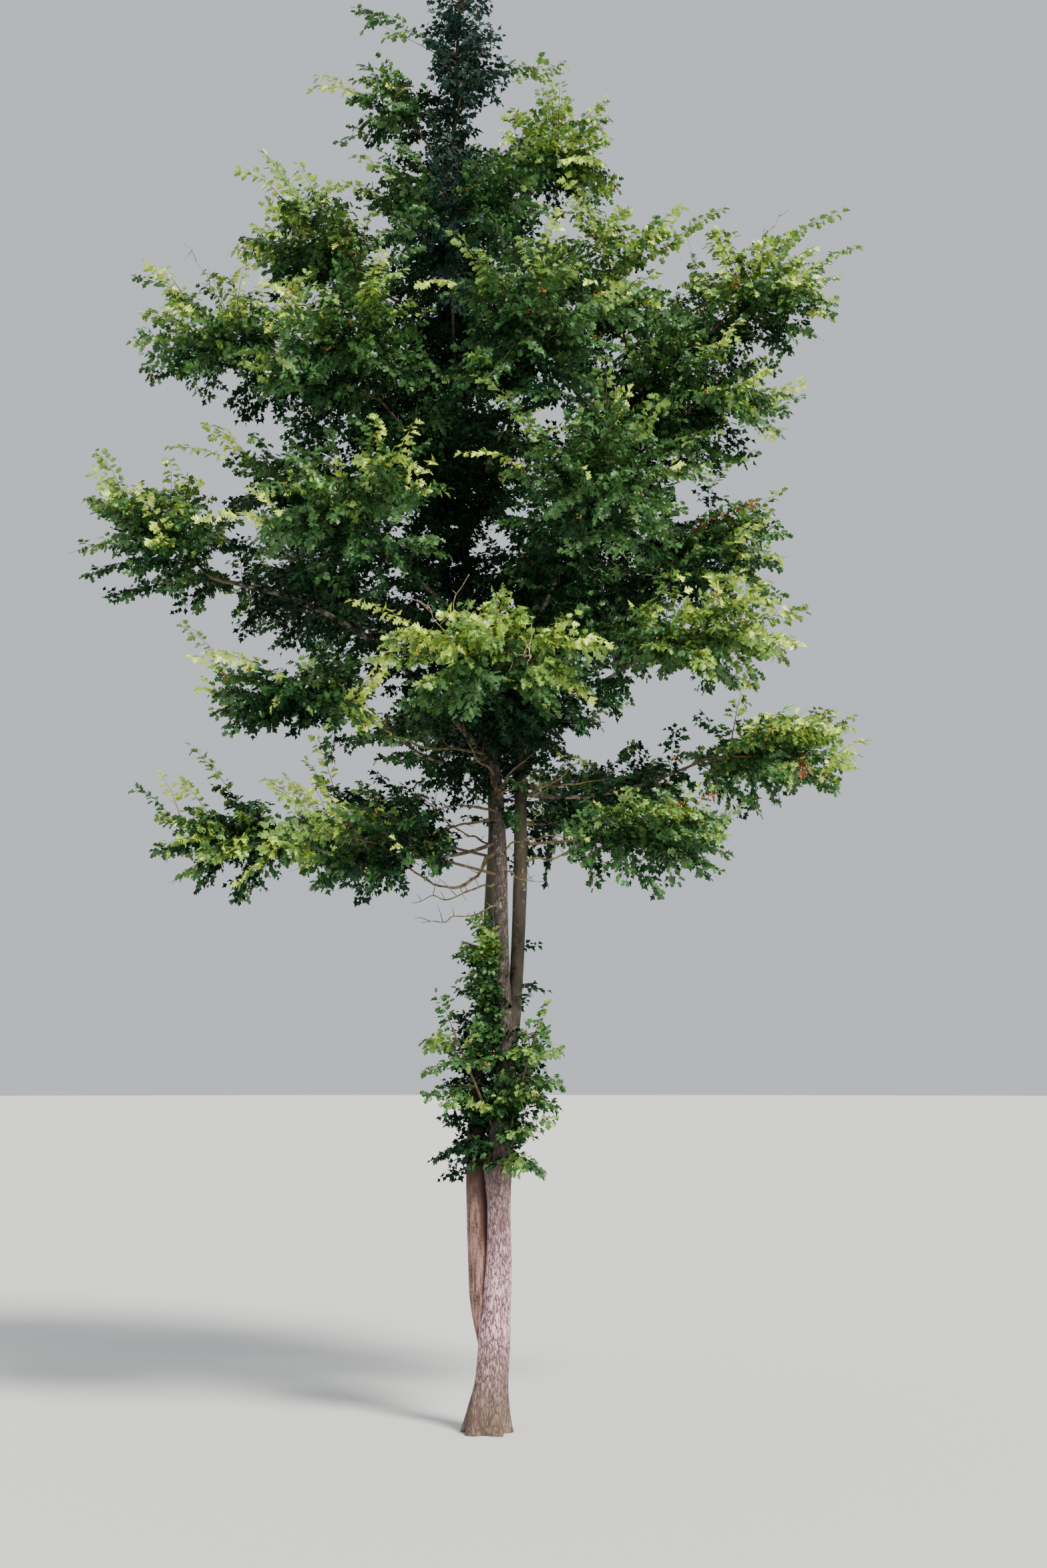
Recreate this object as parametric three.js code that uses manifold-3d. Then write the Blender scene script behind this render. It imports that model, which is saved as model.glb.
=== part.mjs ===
// A hawthorn tree about seven metres tall, with a twin trunk and a layered crown.
// Millimetres, +Z up. The origin is on the ground, in the flat cut under the trunk.
// +X is to the right and +Y away from someone who looks at the tree's fuller side.

import * as THREE from 'three';
import { mergeVertices } from 'three/addons/utils/BufferGeometryUtils.js';
import Module from 'manifold-3d';

const wasm = await Module();
wasm.setup();

// Driving dimensions

const TREE_HEIGHT = 7100;
const TRUNK_TOP = 0.955 * TREE_HEIGHT;
const SEAT_GAP = 0.3;
const FLARE_HEIGHT = 420;
const FLARE_SPREAD = 0.5;
const FLARE_BUTTRESSES = 5;
const COLLAR_LENGTH = 70;
const COLLAR_SWELL = 0.35;
const BOUGH_TAPER = 0.62;
const TWIG_BASE = 7;
const TWIG_TIP = 4;
const BARE_STEM_BASE = 8;
const TWIGS_PER_MASS = 5;
const LEAF_LENGTH = 370;
const LEAF_WIDTH = 0.66;
const LEAF_THICKNESS = 0.03;
const LEAF_WIDEST = 0.4;
const LEAF_ROOT = 3;
const LIMB_CLEARANCE = 6;
const SPACE_CLEARANCE = 4;
const MERGE_TOLERANCE = 0.001;
const SHAPE_TOLERANCE = 0.05;

// Facets round each kind of limb and steps along it

const TRUNK_FACETS = { sides: 10, steps: 24 };
const SIDE_STEM_FACETS = { sides: 8, steps: 12 };
const BOUGH_FACETS = { sides: 5, steps: 5 };
const OWN_STEM_FACETS = { sides: 3, steps: 3 };
const TWIG_FACETS = { sides: 3, steps: 1 };

// Heights, places and radii that the trunk and the two side stems pass through

const TRUNK_STATIONS = [
  { z: 0, x: 0, y: 0, r: 84 },
  { z: 190, x: 20, y: 0, r: 74 },
  { z: 470, x: 44, y: 0, r: 63 },
  { z: 760, x: 57, y: 0, r: 57 },
  { z: 1050, x: 60, y: 0, r: 50 },
  { z: 1650, x: 84, y: 0, r: 44 },
  { z: 2080, x: 72, y: -8, r: 33 },
  { z: 2930, x: 47, y: -6, r: 28 },
  { z: 3350, x: -8, y: 20, r: 25 },
  { z: 3830, x: -81, y: 60, r: 22 },
  { z: 4770, x: -165, y: 70, r: 16 },
  { z: 5540, x: -173, y: 40, r: 12 },
  { z: 6120, x: -176, y: 20, r: 9 },
  { z: TRUNK_TOP, x: -150, y: 0, r: 6 },
];

const LEFT_STEM_STATIONS = [
  { z: 300, x: 20, y: 15, r: 36 },
  { z: 560, x: -34, y: 34, r: 36 },
  { z: 760, x: -47, y: 38, r: 38 },
  { z: 950, x: -51, y: 40, r: 41 },
  { z: 1150, x: -58, y: 50, r: 38 },
  { z: 1650, x: -40, y: 90, r: 31 },
  { z: 2460, x: 13, y: 125, r: 24 },
  { z: 2920, x: 20, y: 145, r: 21 },
  { z: 3500, x: -70, y: 230, r: 17 },
  { z: 4250, x: -260, y: 420, r: 12 },
];

const RIGHT_STEM_STATIONS = [
  { z: 1620, x: 84, y: 5, r: 30 },
  { z: 1850, x: 122, y: 20, r: 33 },
  { z: 2080, x: 138, y: 30, r: 31 },
  { z: 2460, x: 154, y: 32, r: 32 },
  { z: 2930, x: 157, y: 32, r: 29 },
  { z: 3530, x: 164, y: 35, r: 25 },
  { z: 3880, x: 172, y: 40, r: 22 },
  { z: 4120, x: 250, y: 45, r: 19 },
  { z: 4300, x: 413, y: 40, r: 17 },
  { z: 4900, x: 640, y: 10, r: 12 },
];

// Masses of foliage, by the limb that carries them. from is the height where the bough leaves that
// limb, and where there is none it leaves the limb's tip. at is the centre of the mass's space, and
// half has its half sizes along its heading, across it and upright. bough is the bough's radius
// where it leaves, and sag is how far it bends down midway. Without bough, the mass's own stem
// starts on the limb.

const MASSES = {
  trunk: {
    left_low_outer: { from: 2700, at: [-1080, -120, 2700], half: [460, 400, 290], bough: 9, sag: 80 },
    left_low_near: { from: 2540, at: [-500, -480, 2650], half: [360, 360, 270] },
    left_arch: { from: 3120, at: [-820, -360, 3310], half: [450, 400, 290], bough: 9, sag: 110 },
    front_shelf: { from: 3250, at: [40, -930, 3450], half: [450, 540, 320], bough: 12, sag: -20 },
    left_big_inner: { from: 3900, at: [-850, 60, 4400], half: [450, 440, 400], bough: 12, sag: 10 },
    left_front: { from: 3620, at: [-580, -830, 4100], half: [470, 460, 400], bough: 11, sag: -20 },
    left_mid_outer: { from: 4560, at: [-1240, 30, 5150], half: [490, 430, 320], bough: 11, sag: -40 },
    left_mid_front: { from: 4300, at: [-640, -600, 4900], half: [460, 450, 400], bough: 10, sag: -10 },
    front_mid: { from: 4120, at: [200, -800, 4900], half: [450, 500, 420], bough: 11, sag: -10 },
    back_upper: { from: 4900, at: [140, 700, 5480], half: [460, 500, 410], bough: 9, sag: -20 },
    left_upper: { from: 5080, at: [-740, 60, 5630], half: [490, 450, 350], bough: 9, sag: -30 },
    front_upper: { from: 5050, at: [-160, -500, 5580], half: [400, 440, 400] },
    right_crest: { from: 5420, at: [320, 0, 6060], half: [330, 360, 470], bough: 8, sag: -30 },
    left_crest: { from: 5980, at: [-440, 40, 6350], half: [260, 280, 320] },
    back_crest: { from: 5700, at: [-210, 330, 6080], half: [300, 330, 400] },
    spire_side: { from: 6200, at: [-110, -130, 6480], half: [230, 220, 330] },
    spire_top: { at: [-150, 0, 6880], half: [170, 150, 225] },
    tuft_left: { from: 1270, at: [-100, -140, 1690], half: [190, 200, 500] },
    tuft_right: { from: 1220, at: [180, -120, 1640], half: [180, 190, 460] },
  },
  left_stem: {
    left_low_back: { from: 2640, at: [-620, 720, 2850], half: [480, 450, 300] },
    back_shelf: { from: 3080, at: [0, 1020, 3470], half: [480, 580, 340], bough: 11, sag: 0 },
    left_big_outer: { from: 3130, at: [-1500, -20, 4150], half: [500, 450, 340], bough: 18, sag: -170 },
    back_left: { from: 3700, at: [-800, 940, 4130], half: [490, 480, 400], bough: 11, sag: 0 },
    back_mid: { at: [-260, 960, 4830], half: [470, 580, 430] },
  },
  right_stem: {
    right_low: { from: 2690, at: [720, -300, 2700], half: [400, 360, 290] },
    right_low_outer: { from: 2930, at: [1300, 0, 3110], half: [430, 400, 290], bough: 11, sag: 60 },
    right_low_back: { from: 2800, at: [620, 800, 2970], half: [480, 450, 320], bough: 9, sag: 30 },
    right_shelf: { from: 3330, at: [1010, -260, 3650], half: [480, 440, 300], bough: 12, sag: 30 },
    right_front: { from: 3600, at: [520, -870, 4180], half: [470, 470, 400], bough: 12, sag: -20 },
    right_centre: { from: 3720, at: [980, 150, 4200], half: [450, 460, 380], bough: 13, sag: -30 },
    back_right: { from: 3480, at: [640, 980, 4060], half: [490, 480, 410], bough: 12, sag: -20 },
    right_mid: { from: 4330, at: [990, -60, 4800], half: [460, 470, 390], bough: 12, sag: -10 },
    right_upper_outer: { from: 4720, at: [1240, 10, 5380], half: [450, 400, 310], bough: 9, sag: -50 },
    right_upper_inner: { at: [590, -60, 5450], half: [400, 440, 390] },
  },
};

// Small seeded generator, so that the tree grows the same way each time
const SEED_STRIDE = 7919;
function seeded(seed) {
  let state = (seed + 1) * SEED_STRIDE;
  return () => {
    state = (state + 0x6d2b79f5) | 0;
    let mixed = Math.imul(state ^ (state >>> 15), 1 | state);
    mixed = (mixed + Math.imul(mixed ^ (mixed >>> 7), 61 | mixed)) ^ mixed;
    return ((mixed ^ (mixed >>> 14)) >>> 0) / 4294967296;
  };
}

const along = (point, direction, length) => point.clone().addScaledVector(direction, length);
const NEARLY_ALONG = 0.95;
const UP = new THREE.Vector3(0, 0, 1);
const SIDEWAYS = new THREE.Vector3(1, 0, 0);
const AWAY = new THREE.Vector3(0, 1, 0);

// Turns a geometry whose vertices are merged into a solid
function solidOf(geometry) {
  geometry.deleteAttribute('normal');
  geometry.deleteAttribute('uv');
  const merged = mergeVertices(geometry, MERGE_TOLERANCE);
  const vertProperties = new Float32Array(merged.attributes.position.array);
  const triVerts = new Uint32Array(merged.index.array);
  return new wasm.Manifold(new wasm.Mesh({ numProp: 3, vertProperties, triVerts }));
}

// A tapering tube along a route: a cylinder whose rings are moved on to the route.
// Upright tubes keep their rings level, so that the trunk's foot is a flat cut.
function tube(route, radiusAt, { sides, steps }, upright = false) {
  const geometry = new THREE.CylinderGeometry(1, 1, 1, sides, steps);
  const frames = route.computeFrenetFrames(steps, false);
  const position = geometry.attributes.position;
  for (let i = 0; i < position.count; i += 1) {
    const share = position.getY(i) + 0.5;
    const ring = Math.round(share * steps);
    const centre = route.getPointAt(ring / steps);
    const radius = radiusAt(ring / steps, Math.atan2(position.getZ(i), position.getX(i)), centre.z);
    const side = upright ? SIDEWAYS : frames.normals[ring];
    const front = upright ? AWAY : frames.binormals[ring];
    centre.addScaledVector(side, position.getX(i) * radius);
    centre.addScaledVector(front, -position.getZ(i) * radius);
    position.setXYZ(i, centre.x, centre.y, centre.z);
  }
  return solidOf(geometry);
}

// The outermost shell of a solid: loose scraps are dropped and sealed hollows filled
function outerShell(solid) {
  const mesh = solid.simplify(SHAPE_TOLERANCE).getMesh();
  const parent = Array.from({ length: mesh.vertProperties.length / 3 }, (_, i) => i);
  const root = (i) => {
    while (parent[i] !== i) i = parent[i] = parent[parent[i]];
    return i;
  };
  const triangles = mesh.triVerts;
  for (let i = 0; i < triangles.length; i += 3) {
    parent[root(triangles[i])] = root(triangles[i + 1]);
    parent[root(triangles[i + 1])] = root(triangles[i + 2]);
  }
  const corner = (i) => new THREE.Vector3().fromArray(mesh.vertProperties, 3 * triangles[i]);
  const volumes = new Map();
  for (let i = 0; i < triangles.length; i += 3) {
    const piece = root(triangles[i]);
    const slice = corner(i).dot(corner(i + 1).cross(corner(i + 2)));
    volumes.set(piece, (volumes.get(piece) ?? 0) + slice);
  }
  const largest = [...volumes].reduce((a, b) => (b[1] > a[1] ? b : a))[0];
  const kept = [];
  for (let i = 0; i < triangles.length; i += 3) {
    if (root(triangles[i]) === largest) kept.push(triangles[i], triangles[i + 1], triangles[i + 2]);
  }
  const vertProperties = mesh.vertProperties;
  const triVerts = new Uint32Array(kept);
  return new wasm.Manifold(new wasm.Mesh({ numProp: 3, vertProperties, triVerts }));
}

// Limbs: the trunk, the two side stems and a bough for each large mass

const limbs = new Map();

function ringsOf(route, radiusAt, steps) {
  return Array.from({ length: steps + 1 }, (_, i) => {
    const centre = route.getPointAt(i / steps);
    return { centre, radius: radiusAt(i / steps, 0, centre.z) };
  });
}

function addLimb(name, carrier, route, radiusAt, facets, upright = false) {
  const rings = ringsOf(route, radiusAt, facets.steps);
  limbs.set(name, { name, carrier, route, radiusAt, facets, upright, rings });
}

// A limb's solid, grown all round by a given distance
function grown(limb, distance) {
  const radiusAt = (share, angle, z) => limb.radiusAt(share, angle, z) + distance;
  return tube(limb.route, radiusAt, limb.facets, limb.upright);
}

// Radius between the stations of the trunk or of a stem
function stationRadius(stations, z) {
  const last = stations.length - 1;
  const i = Math.min(Math.max(stations.findIndex((s) => s.z > z), 1), last);
  const upper = z >= stations[last].z ? stations[last] : stations[i];
  const lower = stations[stations.indexOf(upper) - 1];
  const share = THREE.MathUtils.clamp((z - lower.z) / (upper.z - lower.z), 0, 1);
  return THREE.MathUtils.lerp(lower.r, upper.r, share);
}

const smooth = (points) => new THREE.CatmullRomCurve3(points, false, 'centripetal');
const stationRoute = (stations) => smooth(stations.map((s) => new THREE.Vector3(s.x, s.y, s.z)));

// Root flare: buttresses that swell towards the ground
function flare(z, angle) {
  const fade = Math.max(0, 1 - z / FLARE_HEIGHT) ** 2;
  const buttress = 0.5 + 0.5 * Math.cos(FLARE_BUTTRESSES * angle + 1);
  return 1 + FLARE_SPREAD * fade * buttress;
}

const trunkRadius = (share, angle, z) => stationRadius(TRUNK_STATIONS, z) * flare(z, angle);
addLimb('trunk', null, stationRoute(TRUNK_STATIONS), trunkRadius, TRUNK_FACETS, true);
for (const [name, stations] of [['left_stem', LEFT_STEM_STATIONS], ['right_stem', RIGHT_STEM_STATIONS]]) {
  const radiusAt = (share, angle, z) => stationRadius(stations, z);
  addLimb(name, 'trunk', stationRoute(stations), radiusAt, SIDE_STEM_FACETS);
}

// The point of a rising limb at a given height, or its tip with no height
const SHARE_TOLERANCE = 0.00001;
function pointOn(limb, height) {
  if (height === undefined) return limb.route.getPointAt(1);
  let low = 0;
  let high = 1;
  while (high - low > SHARE_TOLERANCE) {
    const middle = (low + high) / 2;
    if (limb.route.getPointAt(middle).z < height) low = middle;
    else high = middle;
  }
  return limb.route.getPointAt(low);
}

// The space of each mass: an ellipsoid turned to its heading, and walls between it and the others.
// Leaves are scaled down in a space whose half sizes add up to less than a full one's.
const FULL_SPACE = 820;
function spaceOf(row) {
  const from = pointOn(limbs.get(row.on), row.from);
  const centre = new THREE.Vector3(...row.at);
  const heading = Math.atan2(centre.y - from.y, centre.x - from.x);
  const ahead = new THREE.Vector3(Math.cos(heading), Math.sin(heading), 0);
  const across = new THREE.Vector3(-ahead.y, ahead.x, 0);
  const usual = LEAF_LENGTH * Math.min(1, (row.half[0] + row.half[1]) / FULL_SPACE);
  return { from, centre, axes: [ahead, across, UP], half: row.half, walls: [], leafLength: usual };
}

const rows = Object.entries(MASSES).flatMap(([on, masses]) => {
  return Object.entries(masses).map(([name, sizes]) => ({ name, on, ...sizes }));
});
const spaces = rows.map(spaceOf);

// How far a space reaches from its centre along a direction that need not have length one
function support(space, direction) {
  return Math.hypot(...space.axes.map((axis, k) => axis.dot(direction) * space.half[k]));
}

// Upright distances count double, because the layers of the crown are wide and shallow
const LAYER_STRETCH = 4;
for (const space of spaces) {
  for (const other of spaces) {
    if (other === space) continue;
    const normal = other.centre.clone().sub(space.centre);
    normal.z *= LAYER_STRETCH;
    const distance = normal.dot(other.centre) - normal.dot(space.centre);
    const share = support(space, normal) / (support(space, normal) + support(other, normal));
    const limit = normal.dot(space.centre) + distance * share - SPACE_CLEARANCE * normal.length();
    space.walls.push({ normal, limit });
  }
}

function inSpace(space, point) {
  const offset = point.clone().sub(space.centre);
  const radial = space.axes.reduce((sum, axis, k) => sum + (axis.dot(offset) / space.half[k]) ** 2, 0);
  return point.z > 0 && radial <= 1 && space.walls.every((wall) => wall.normal.dot(point) < wall.limit);
}

// Routes of the boughs

// Where the line from the limb to the centre of a space enters that space, a little inside it
const ENTRY_SHARE = 0.86;
function entryOf(space) {
  const direction = space.centre.clone().sub(space.from).normalize();
  const spans = space.axes.map((axis, k) => (axis.dot(direction) / space.half[k]) ** 2);
  const radius = 1 / Math.sqrt(spans[0] + spans[1] + spans[2]);
  return { direction, radius, point: along(space.centre, direction, -ENTRY_SHARE * radius) };
}

const BOUGH_POINTS = 6;
const BOUGH_SWAY = 0.025;

function boughRoute(space, row, random) {
  const end = entryOf(space).point;
  const span = end.clone().sub(space.from);
  const sideways = new THREE.Vector3(-span.y, span.x, 0);
  const points = [];
  for (let i = 0; i < BOUGH_POINTS; i += 1) {
    const share = i / (BOUGH_POINTS - 1);
    const point = along(space.from, span, share);
    point.z -= row.sag * 4 * share * (1 - share);
    const sway = (random() - 0.5) * 2 * BOUGH_SWAY;
    points.push(i === 0 ? point : along(point, sideways, sway * Math.sin(Math.PI * share)));
  }
  return smooth(points);
}

rows.forEach((row, index) => {
  if (!row.bough) return;
  const route = boughRoute(spaces[index], row, seeded(index));
  const length = route.getLength();
  const radiusAt = (share) => {
    const collar = Math.max(0, 1 - share * length / (2 * COLLAR_LENGTH)) ** 2;
    return row.bough * (1 - (1 - BOUGH_TAPER) * share) * (1 + COLLAR_SWELL * collar);
  };
  addLimb(`bough_${row.name}`, row.on, route, radiusAt, BOUGH_FACETS);
});

// The mass's own stem starts on the tip of its bough or limb, or on the limb's side,
// runs through the space and levels out where the space is a layer
const STEM_LEVELLING = 0.6;
const STEM_SHORTEST = 0.3;
const STEM_LEAD = 0.3;
const STEM_PULL = 0.3;
const SIDE_STEM_PULL = 0.4;

function stemOf(row, index) {
  const space = spaces[index];
  const { direction, radius } = entryOf(space);
  const seat = limbs.get(row.bough ? `bough_${row.name}` : row.on);
  const onTip = Boolean(row.bough) || row.from === undefined;
  const tangent = seat.upright ? UP : seat.route.getTangentAt(1);
  const lead = onTip ? tangent : direction;
  const start = onTip ? along(seat.route.getPointAt(1), lead, SEAT_GAP) : space.from.clone();
  const level = direction.clone();
  level.z *= space.half[2] < space.half[0] ? STEM_LEVELLING : 1;
  level.normalize();
  const reach = Math.max(STEM_SHORTEST * radius, radius - space.leafLength);
  const led = along(start, lead, STEM_LEAD * radius);
  const near = onTip ? led : start.clone().lerp(space.centre, SIDE_STEM_PULL);
  const middle = space.centre.clone().lerp(near, STEM_PULL);
  const route = smooth([start, near, middle, along(space.centre, level, reach)]);
  const base = row.bough ? row.bough * BOUGH_TAPER : BARE_STEM_BASE;
  const radiusAt = (share) => THREE.MathUtils.lerp(base, TWIG_BASE, share);
  const rings = ringsOf(route, radiusAt, OWN_STEM_FACETS.steps);
  const solid = tube(route, radiusAt, OWN_STEM_FACETS);
  return { index, seat: onTip ? null : seat, route, rings, solid };
}

const stems = rows.map(stemOf);

// Distance from a point to the surface of the nearest limb or of another mass's stem
function woodDistance(point, index) {
  let nearest = Infinity;
  const line = new THREE.Line3();
  const foot = new THREE.Vector3();
  for (const { rings } of [...limbs.values(), ...stems.filter((stem) => stem.index !== index)]) {
    for (let i = 1; i < rings.length; i += 1) {
      line.set(rings[i - 1].centre, rings[i].centre);
      line.closestPointToPoint(point, true, foot);
      nearest = Math.min(nearest, foot.distanceTo(point) - rings[i - 1].radius);
    }
  }
  return nearest;
}

// How far a straight shoot can run before it leaves its space or comes near other wood
const MARCH = 15;
function freeLength(index, start, direction, longest) {
  let length = 0;
  while (length < longest) {
    const point = along(start, direction, length + MARCH);
    if (!inSpace(spaces[index], point)) break;
    if (woodDistance(point, index) < LIMB_CLEARANCE + TWIG_BASE) break;
    length += MARCH;
  }
  return length;
}

// One leaf that stands for a spray: a flat diamond of eight faces with its root inside a twig
function leaf(root, direction, face, length) {
  const facing = Math.abs(direction.dot(face)) > NEARLY_ALONG ? SIDEWAYS : face;
  const across = direction.clone().cross(facing).normalize();
  const normal = across.clone().cross(direction).normalize();
  const geometry = new THREE.OctahedronGeometry(1, 0);
  const position = geometry.attributes.position;
  const points = [];
  for (let i = 0; i < position.count; i += 1) {
    const end = position.getZ(i);
    const middle = Math.abs(end) < 0.5;
    const point = along(root, direction, middle ? LEAF_WIDEST * length : end > 0 ? length : -LEAF_ROOT);
    point.addScaledVector(across, -position.getX(i) * length * LEAF_WIDTH / 2);
    point.addScaledVector(normal, position.getY(i) * length * LEAF_THICKNESS / 2);
    position.setXYZ(i, point.x, point.y, point.z);
    points.push(point);
  }
  return { geometry, points };
}

const touches = (solid, other) => !solid.intersect(other).isEmpty();
const grownLimbs = wasm.Manifold.union([...limbs.values()].map((limb) => grown(limb, LIMB_CLEARANCE)));

// Adds a leaf at the longest of a few lengths that keeps it in its space and off wood and other leaves
const LEAF_FITS = [1, 0.85, 0.7];
const LONGEST_LEAF = 1.25;
const SHORTEST_LEAF = 0.5;
function addLeaf(blades, index, root, direction, face) {
  const usual = spaces[index].leafLength;
  const free = freeLength(index, root, direction, LONGEST_LEAF * usual);
  for (const fit of LEAF_FITS) {
    if (fit * free < SHORTEST_LEAF * usual) return;
    const { geometry, points } = leaf(root, direction, face, fit * free);
    if (!points.every((point) => inSpace(spaces[index], point))) continue;
    const solid = solidOf(geometry);
    const blocked = (other) => touches(solid, other);
    if (blocked(grownLimbs) || blades.some(blocked)) continue;
    if (stems.some((stem) => stem.index !== index && blocked(stem.solid))) continue;
    blades.push(solid);
    return;
  }
}

const turned = (direction, axis, degrees) => {
  return direction.clone().applyAxisAngle(axis, THREE.MathUtils.degToRad(degrees));
};

// A direction that stands out from another by an angle, turned round it and flattened into a layer
const LAYER_FLATNESS = 0.5;
function outFrom(ahead, around, spread) {
  const upright = Math.abs(ahead.z) > NEARLY_ALONG;
  const side = upright ? SIDEWAYS.clone() : ahead.clone().cross(UP).normalize();
  const over = side.clone().cross(ahead);
  const flatness = THREE.MathUtils.lerp(LAYER_FLATNESS, 1, Math.abs(ahead.z));
  const out = side.multiplyScalar(Math.cos(around)).addScaledVector(over, flatness * Math.sin(around));
  return along(ahead.clone().multiplyScalar(Math.cos(spread)), out, Math.sin(spread)).normalize();
}

// A leaf hangs a little below the line of its twig
function hanging(direction, droop) {
  const hung = direction.clone();
  hung.z -= droop;
  return hung.normalize();
}

// The side a leaf faces: upwards, leaning any way
const LEAN = 1.1;
function faced(random) {
  return new THREE.Vector3(LEAN * (2 * random() - 1), LEAN * (2 * random() - 1), 1).normalize();
}

// Twigs stand round the stem by the golden angle and run as far as their space lets them,
// with a leaf at the tip and one or two on alternate sides
const GOLDEN_ANGLE = Math.PI * (3 - Math.sqrt(5));
const TWIG_ROOM = 1000;
const SHORTEST_TWIG = 20;
const TWIG_SPREAD = { least: 50, more: 22 };
const LEAF_TURN = { least: 52, more: 16 };
const LEAF_DROOP = { least: 0.25, more: 0.5 };
const LONG_TWIG = 0.65;
const PLACES_ON_LONG_TWIG = [0.4, 0.75];
const PLACES_ON_SHORT_TWIG = [0.6];
const ROOM_FOR_LEAF = 0.9;
const FIRST_TWIG_ON_TIP = 0.12;
const FIRST_TWIG_ON_SIDE = 0.4;
const STEM_LEAF_PLACE = 0.7;
const TIP_DROOP = 0.1;
const FOLIAGE_SEED = 100;

// A point on the centre line between a limb's rings
function placeOn(rings, share) {
  const scaled = share * (rings.length - 1);
  const i = Math.min(Math.floor(scaled), rings.length - 2);
  return rings[i].centre.clone().lerp(rings[i + 1].centre, scaled - i);
}

function foliage(index) {
  const random = seeded(FOLIAGE_SEED + index);
  const varied = ({ least, more }) => least + more * random();
  const { route, rings, seat, solid } = stems[index];
  const usual = spaces[index].leafLength;
  const wood = [solid];
  const blades = [];
  const first = seat ? FIRST_TWIG_ON_SIDE : FIRST_TWIG_ON_TIP;
  const around = 2 * Math.PI * random();
  for (let k = 0; k < TWIGS_PER_MASS; k += 1) {
    const share = first + (1 - first) * k / TWIGS_PER_MASS;
    const spread = THREE.MathUtils.degToRad(varied(TWIG_SPREAD));
    const droop = varied(LEAF_DROOP);
    const start = placeOn(rings, share);
    const direction = outFrom(route.getTangentAt(share), around + k * GOLDEN_ANGLE, spread);
    const length = freeLength(index, start, direction, TWIG_ROOM) - ROOM_FOR_LEAF * usual;
    if (length < SHORTEST_TWIG) {
      addLeaf(blades, index, start, hanging(direction, droop), faced(random));
      continue;
    }
    const twig = new THREE.LineCurve3(start, along(start, direction, length));
    wood.push(tube(twig, (part) => THREE.MathUtils.lerp(TWIG_BASE, TWIG_TIP, part), TWIG_FACETS));
    addLeaf(blades, index, twig.getPointAt(1), hanging(direction, droop), faced(random));
    const places = length > LONG_TWIG * usual ? PLACES_ON_LONG_TWIG : PLACES_ON_SHORT_TWIG;
    places.forEach((place, n) => {
      const outward = turned(direction, UP, (n % 2 ? -1 : 1) * varied(LEAF_TURN));
      addLeaf(blades, index, twig.getPointAt(place), hanging(outward, droop), faced(random));
    });
  }
  addLeaf(blades, index, placeOn(rings, 1), hanging(route.getTangentAt(1), TIP_DROOP), faced(random));
  const aside = turned(route.getTangentAt(STEM_LEAF_PLACE), UP, varied(LEAF_TURN));
  const place = placeOn(rings, STEM_LEAF_PLACE);
  addLeaf(blades, index, place, hanging(aside, LEAF_DROOP.least), faced(random));
  const joined = wasm.Manifold.union([...wood, ...blades]);
  return outerShell(seat ? joined.subtract(grown(seat, SEAT_GAP)) : joined);
}

// Materials

const bark = {
  trunk: new THREE.MeshStandardMaterial({ color: 0x8d7f73, roughness: 0.92, metalness: 0 }),
  left_stem: new THREE.MeshStandardMaterial({ color: 0x8a6552, roughness: 0.8, metalness: 0 }),
  right_stem: new THREE.MeshStandardMaterial({ color: 0x6f6752, roughness: 0.85, metalness: 0 }),
  bough: new THREE.MeshStandardMaterial({ color: 0x5f5a4a, roughness: 0.9, metalness: 0 }),
};
const leafGreens = [0x4f7a2c, 0x3f6628, 0x648c34];
const leaves = leafGreens.map((color) => {
  return new THREE.MeshStandardMaterial({ color, roughness: 0.6, metalness: 0 });
});

// Assembly

const tree = new THREE.Group();

function addNode(name, solid, material) {
  const mesh = solid.getMesh();
  const geometry = new THREE.BufferGeometry();
  geometry.setAttribute('position', new THREE.BufferAttribute(new Float32Array(mesh.vertProperties), 3));
  geometry.setIndex(new THREE.BufferAttribute(new Uint32Array(mesh.triVerts), 1));
  geometry.computeVertexNormals();
  const node = new THREE.Mesh(geometry, material);
  node.name = name;
  tree.add(node);
}

for (const limb of limbs.values()) {
  const whole = grown(limb, 0);
  const seated = limb.carrier ? whole.subtract(grown(limbs.get(limb.carrier), SEAT_GAP)) : whole;
  addNode(limb.name, outerShell(seated), bark[limb.name] ?? bark.bough);
}

rows.forEach((row, index) => {
  addNode(`foliage_${row.name}`, foliage(index), leaves[index % leaves.length]);
});

export default tree;
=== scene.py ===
# %% [markdown]
# # A hawthorn tree
# A slender hawthorn, about seven metres tall, with a pale trunk, a reddish side stem on its left,
# an olive one on its right and a crown in layers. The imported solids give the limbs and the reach
# of each mass of leaves. They could be shown as they are, but a tree is read by its bark and by
# thousands of small leaves, so this lesson grows those on the same limbs by the same rule.

# %% Load the frame
import math

import bmesh
import bpy
import numpy as np
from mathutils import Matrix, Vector, noise


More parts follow.
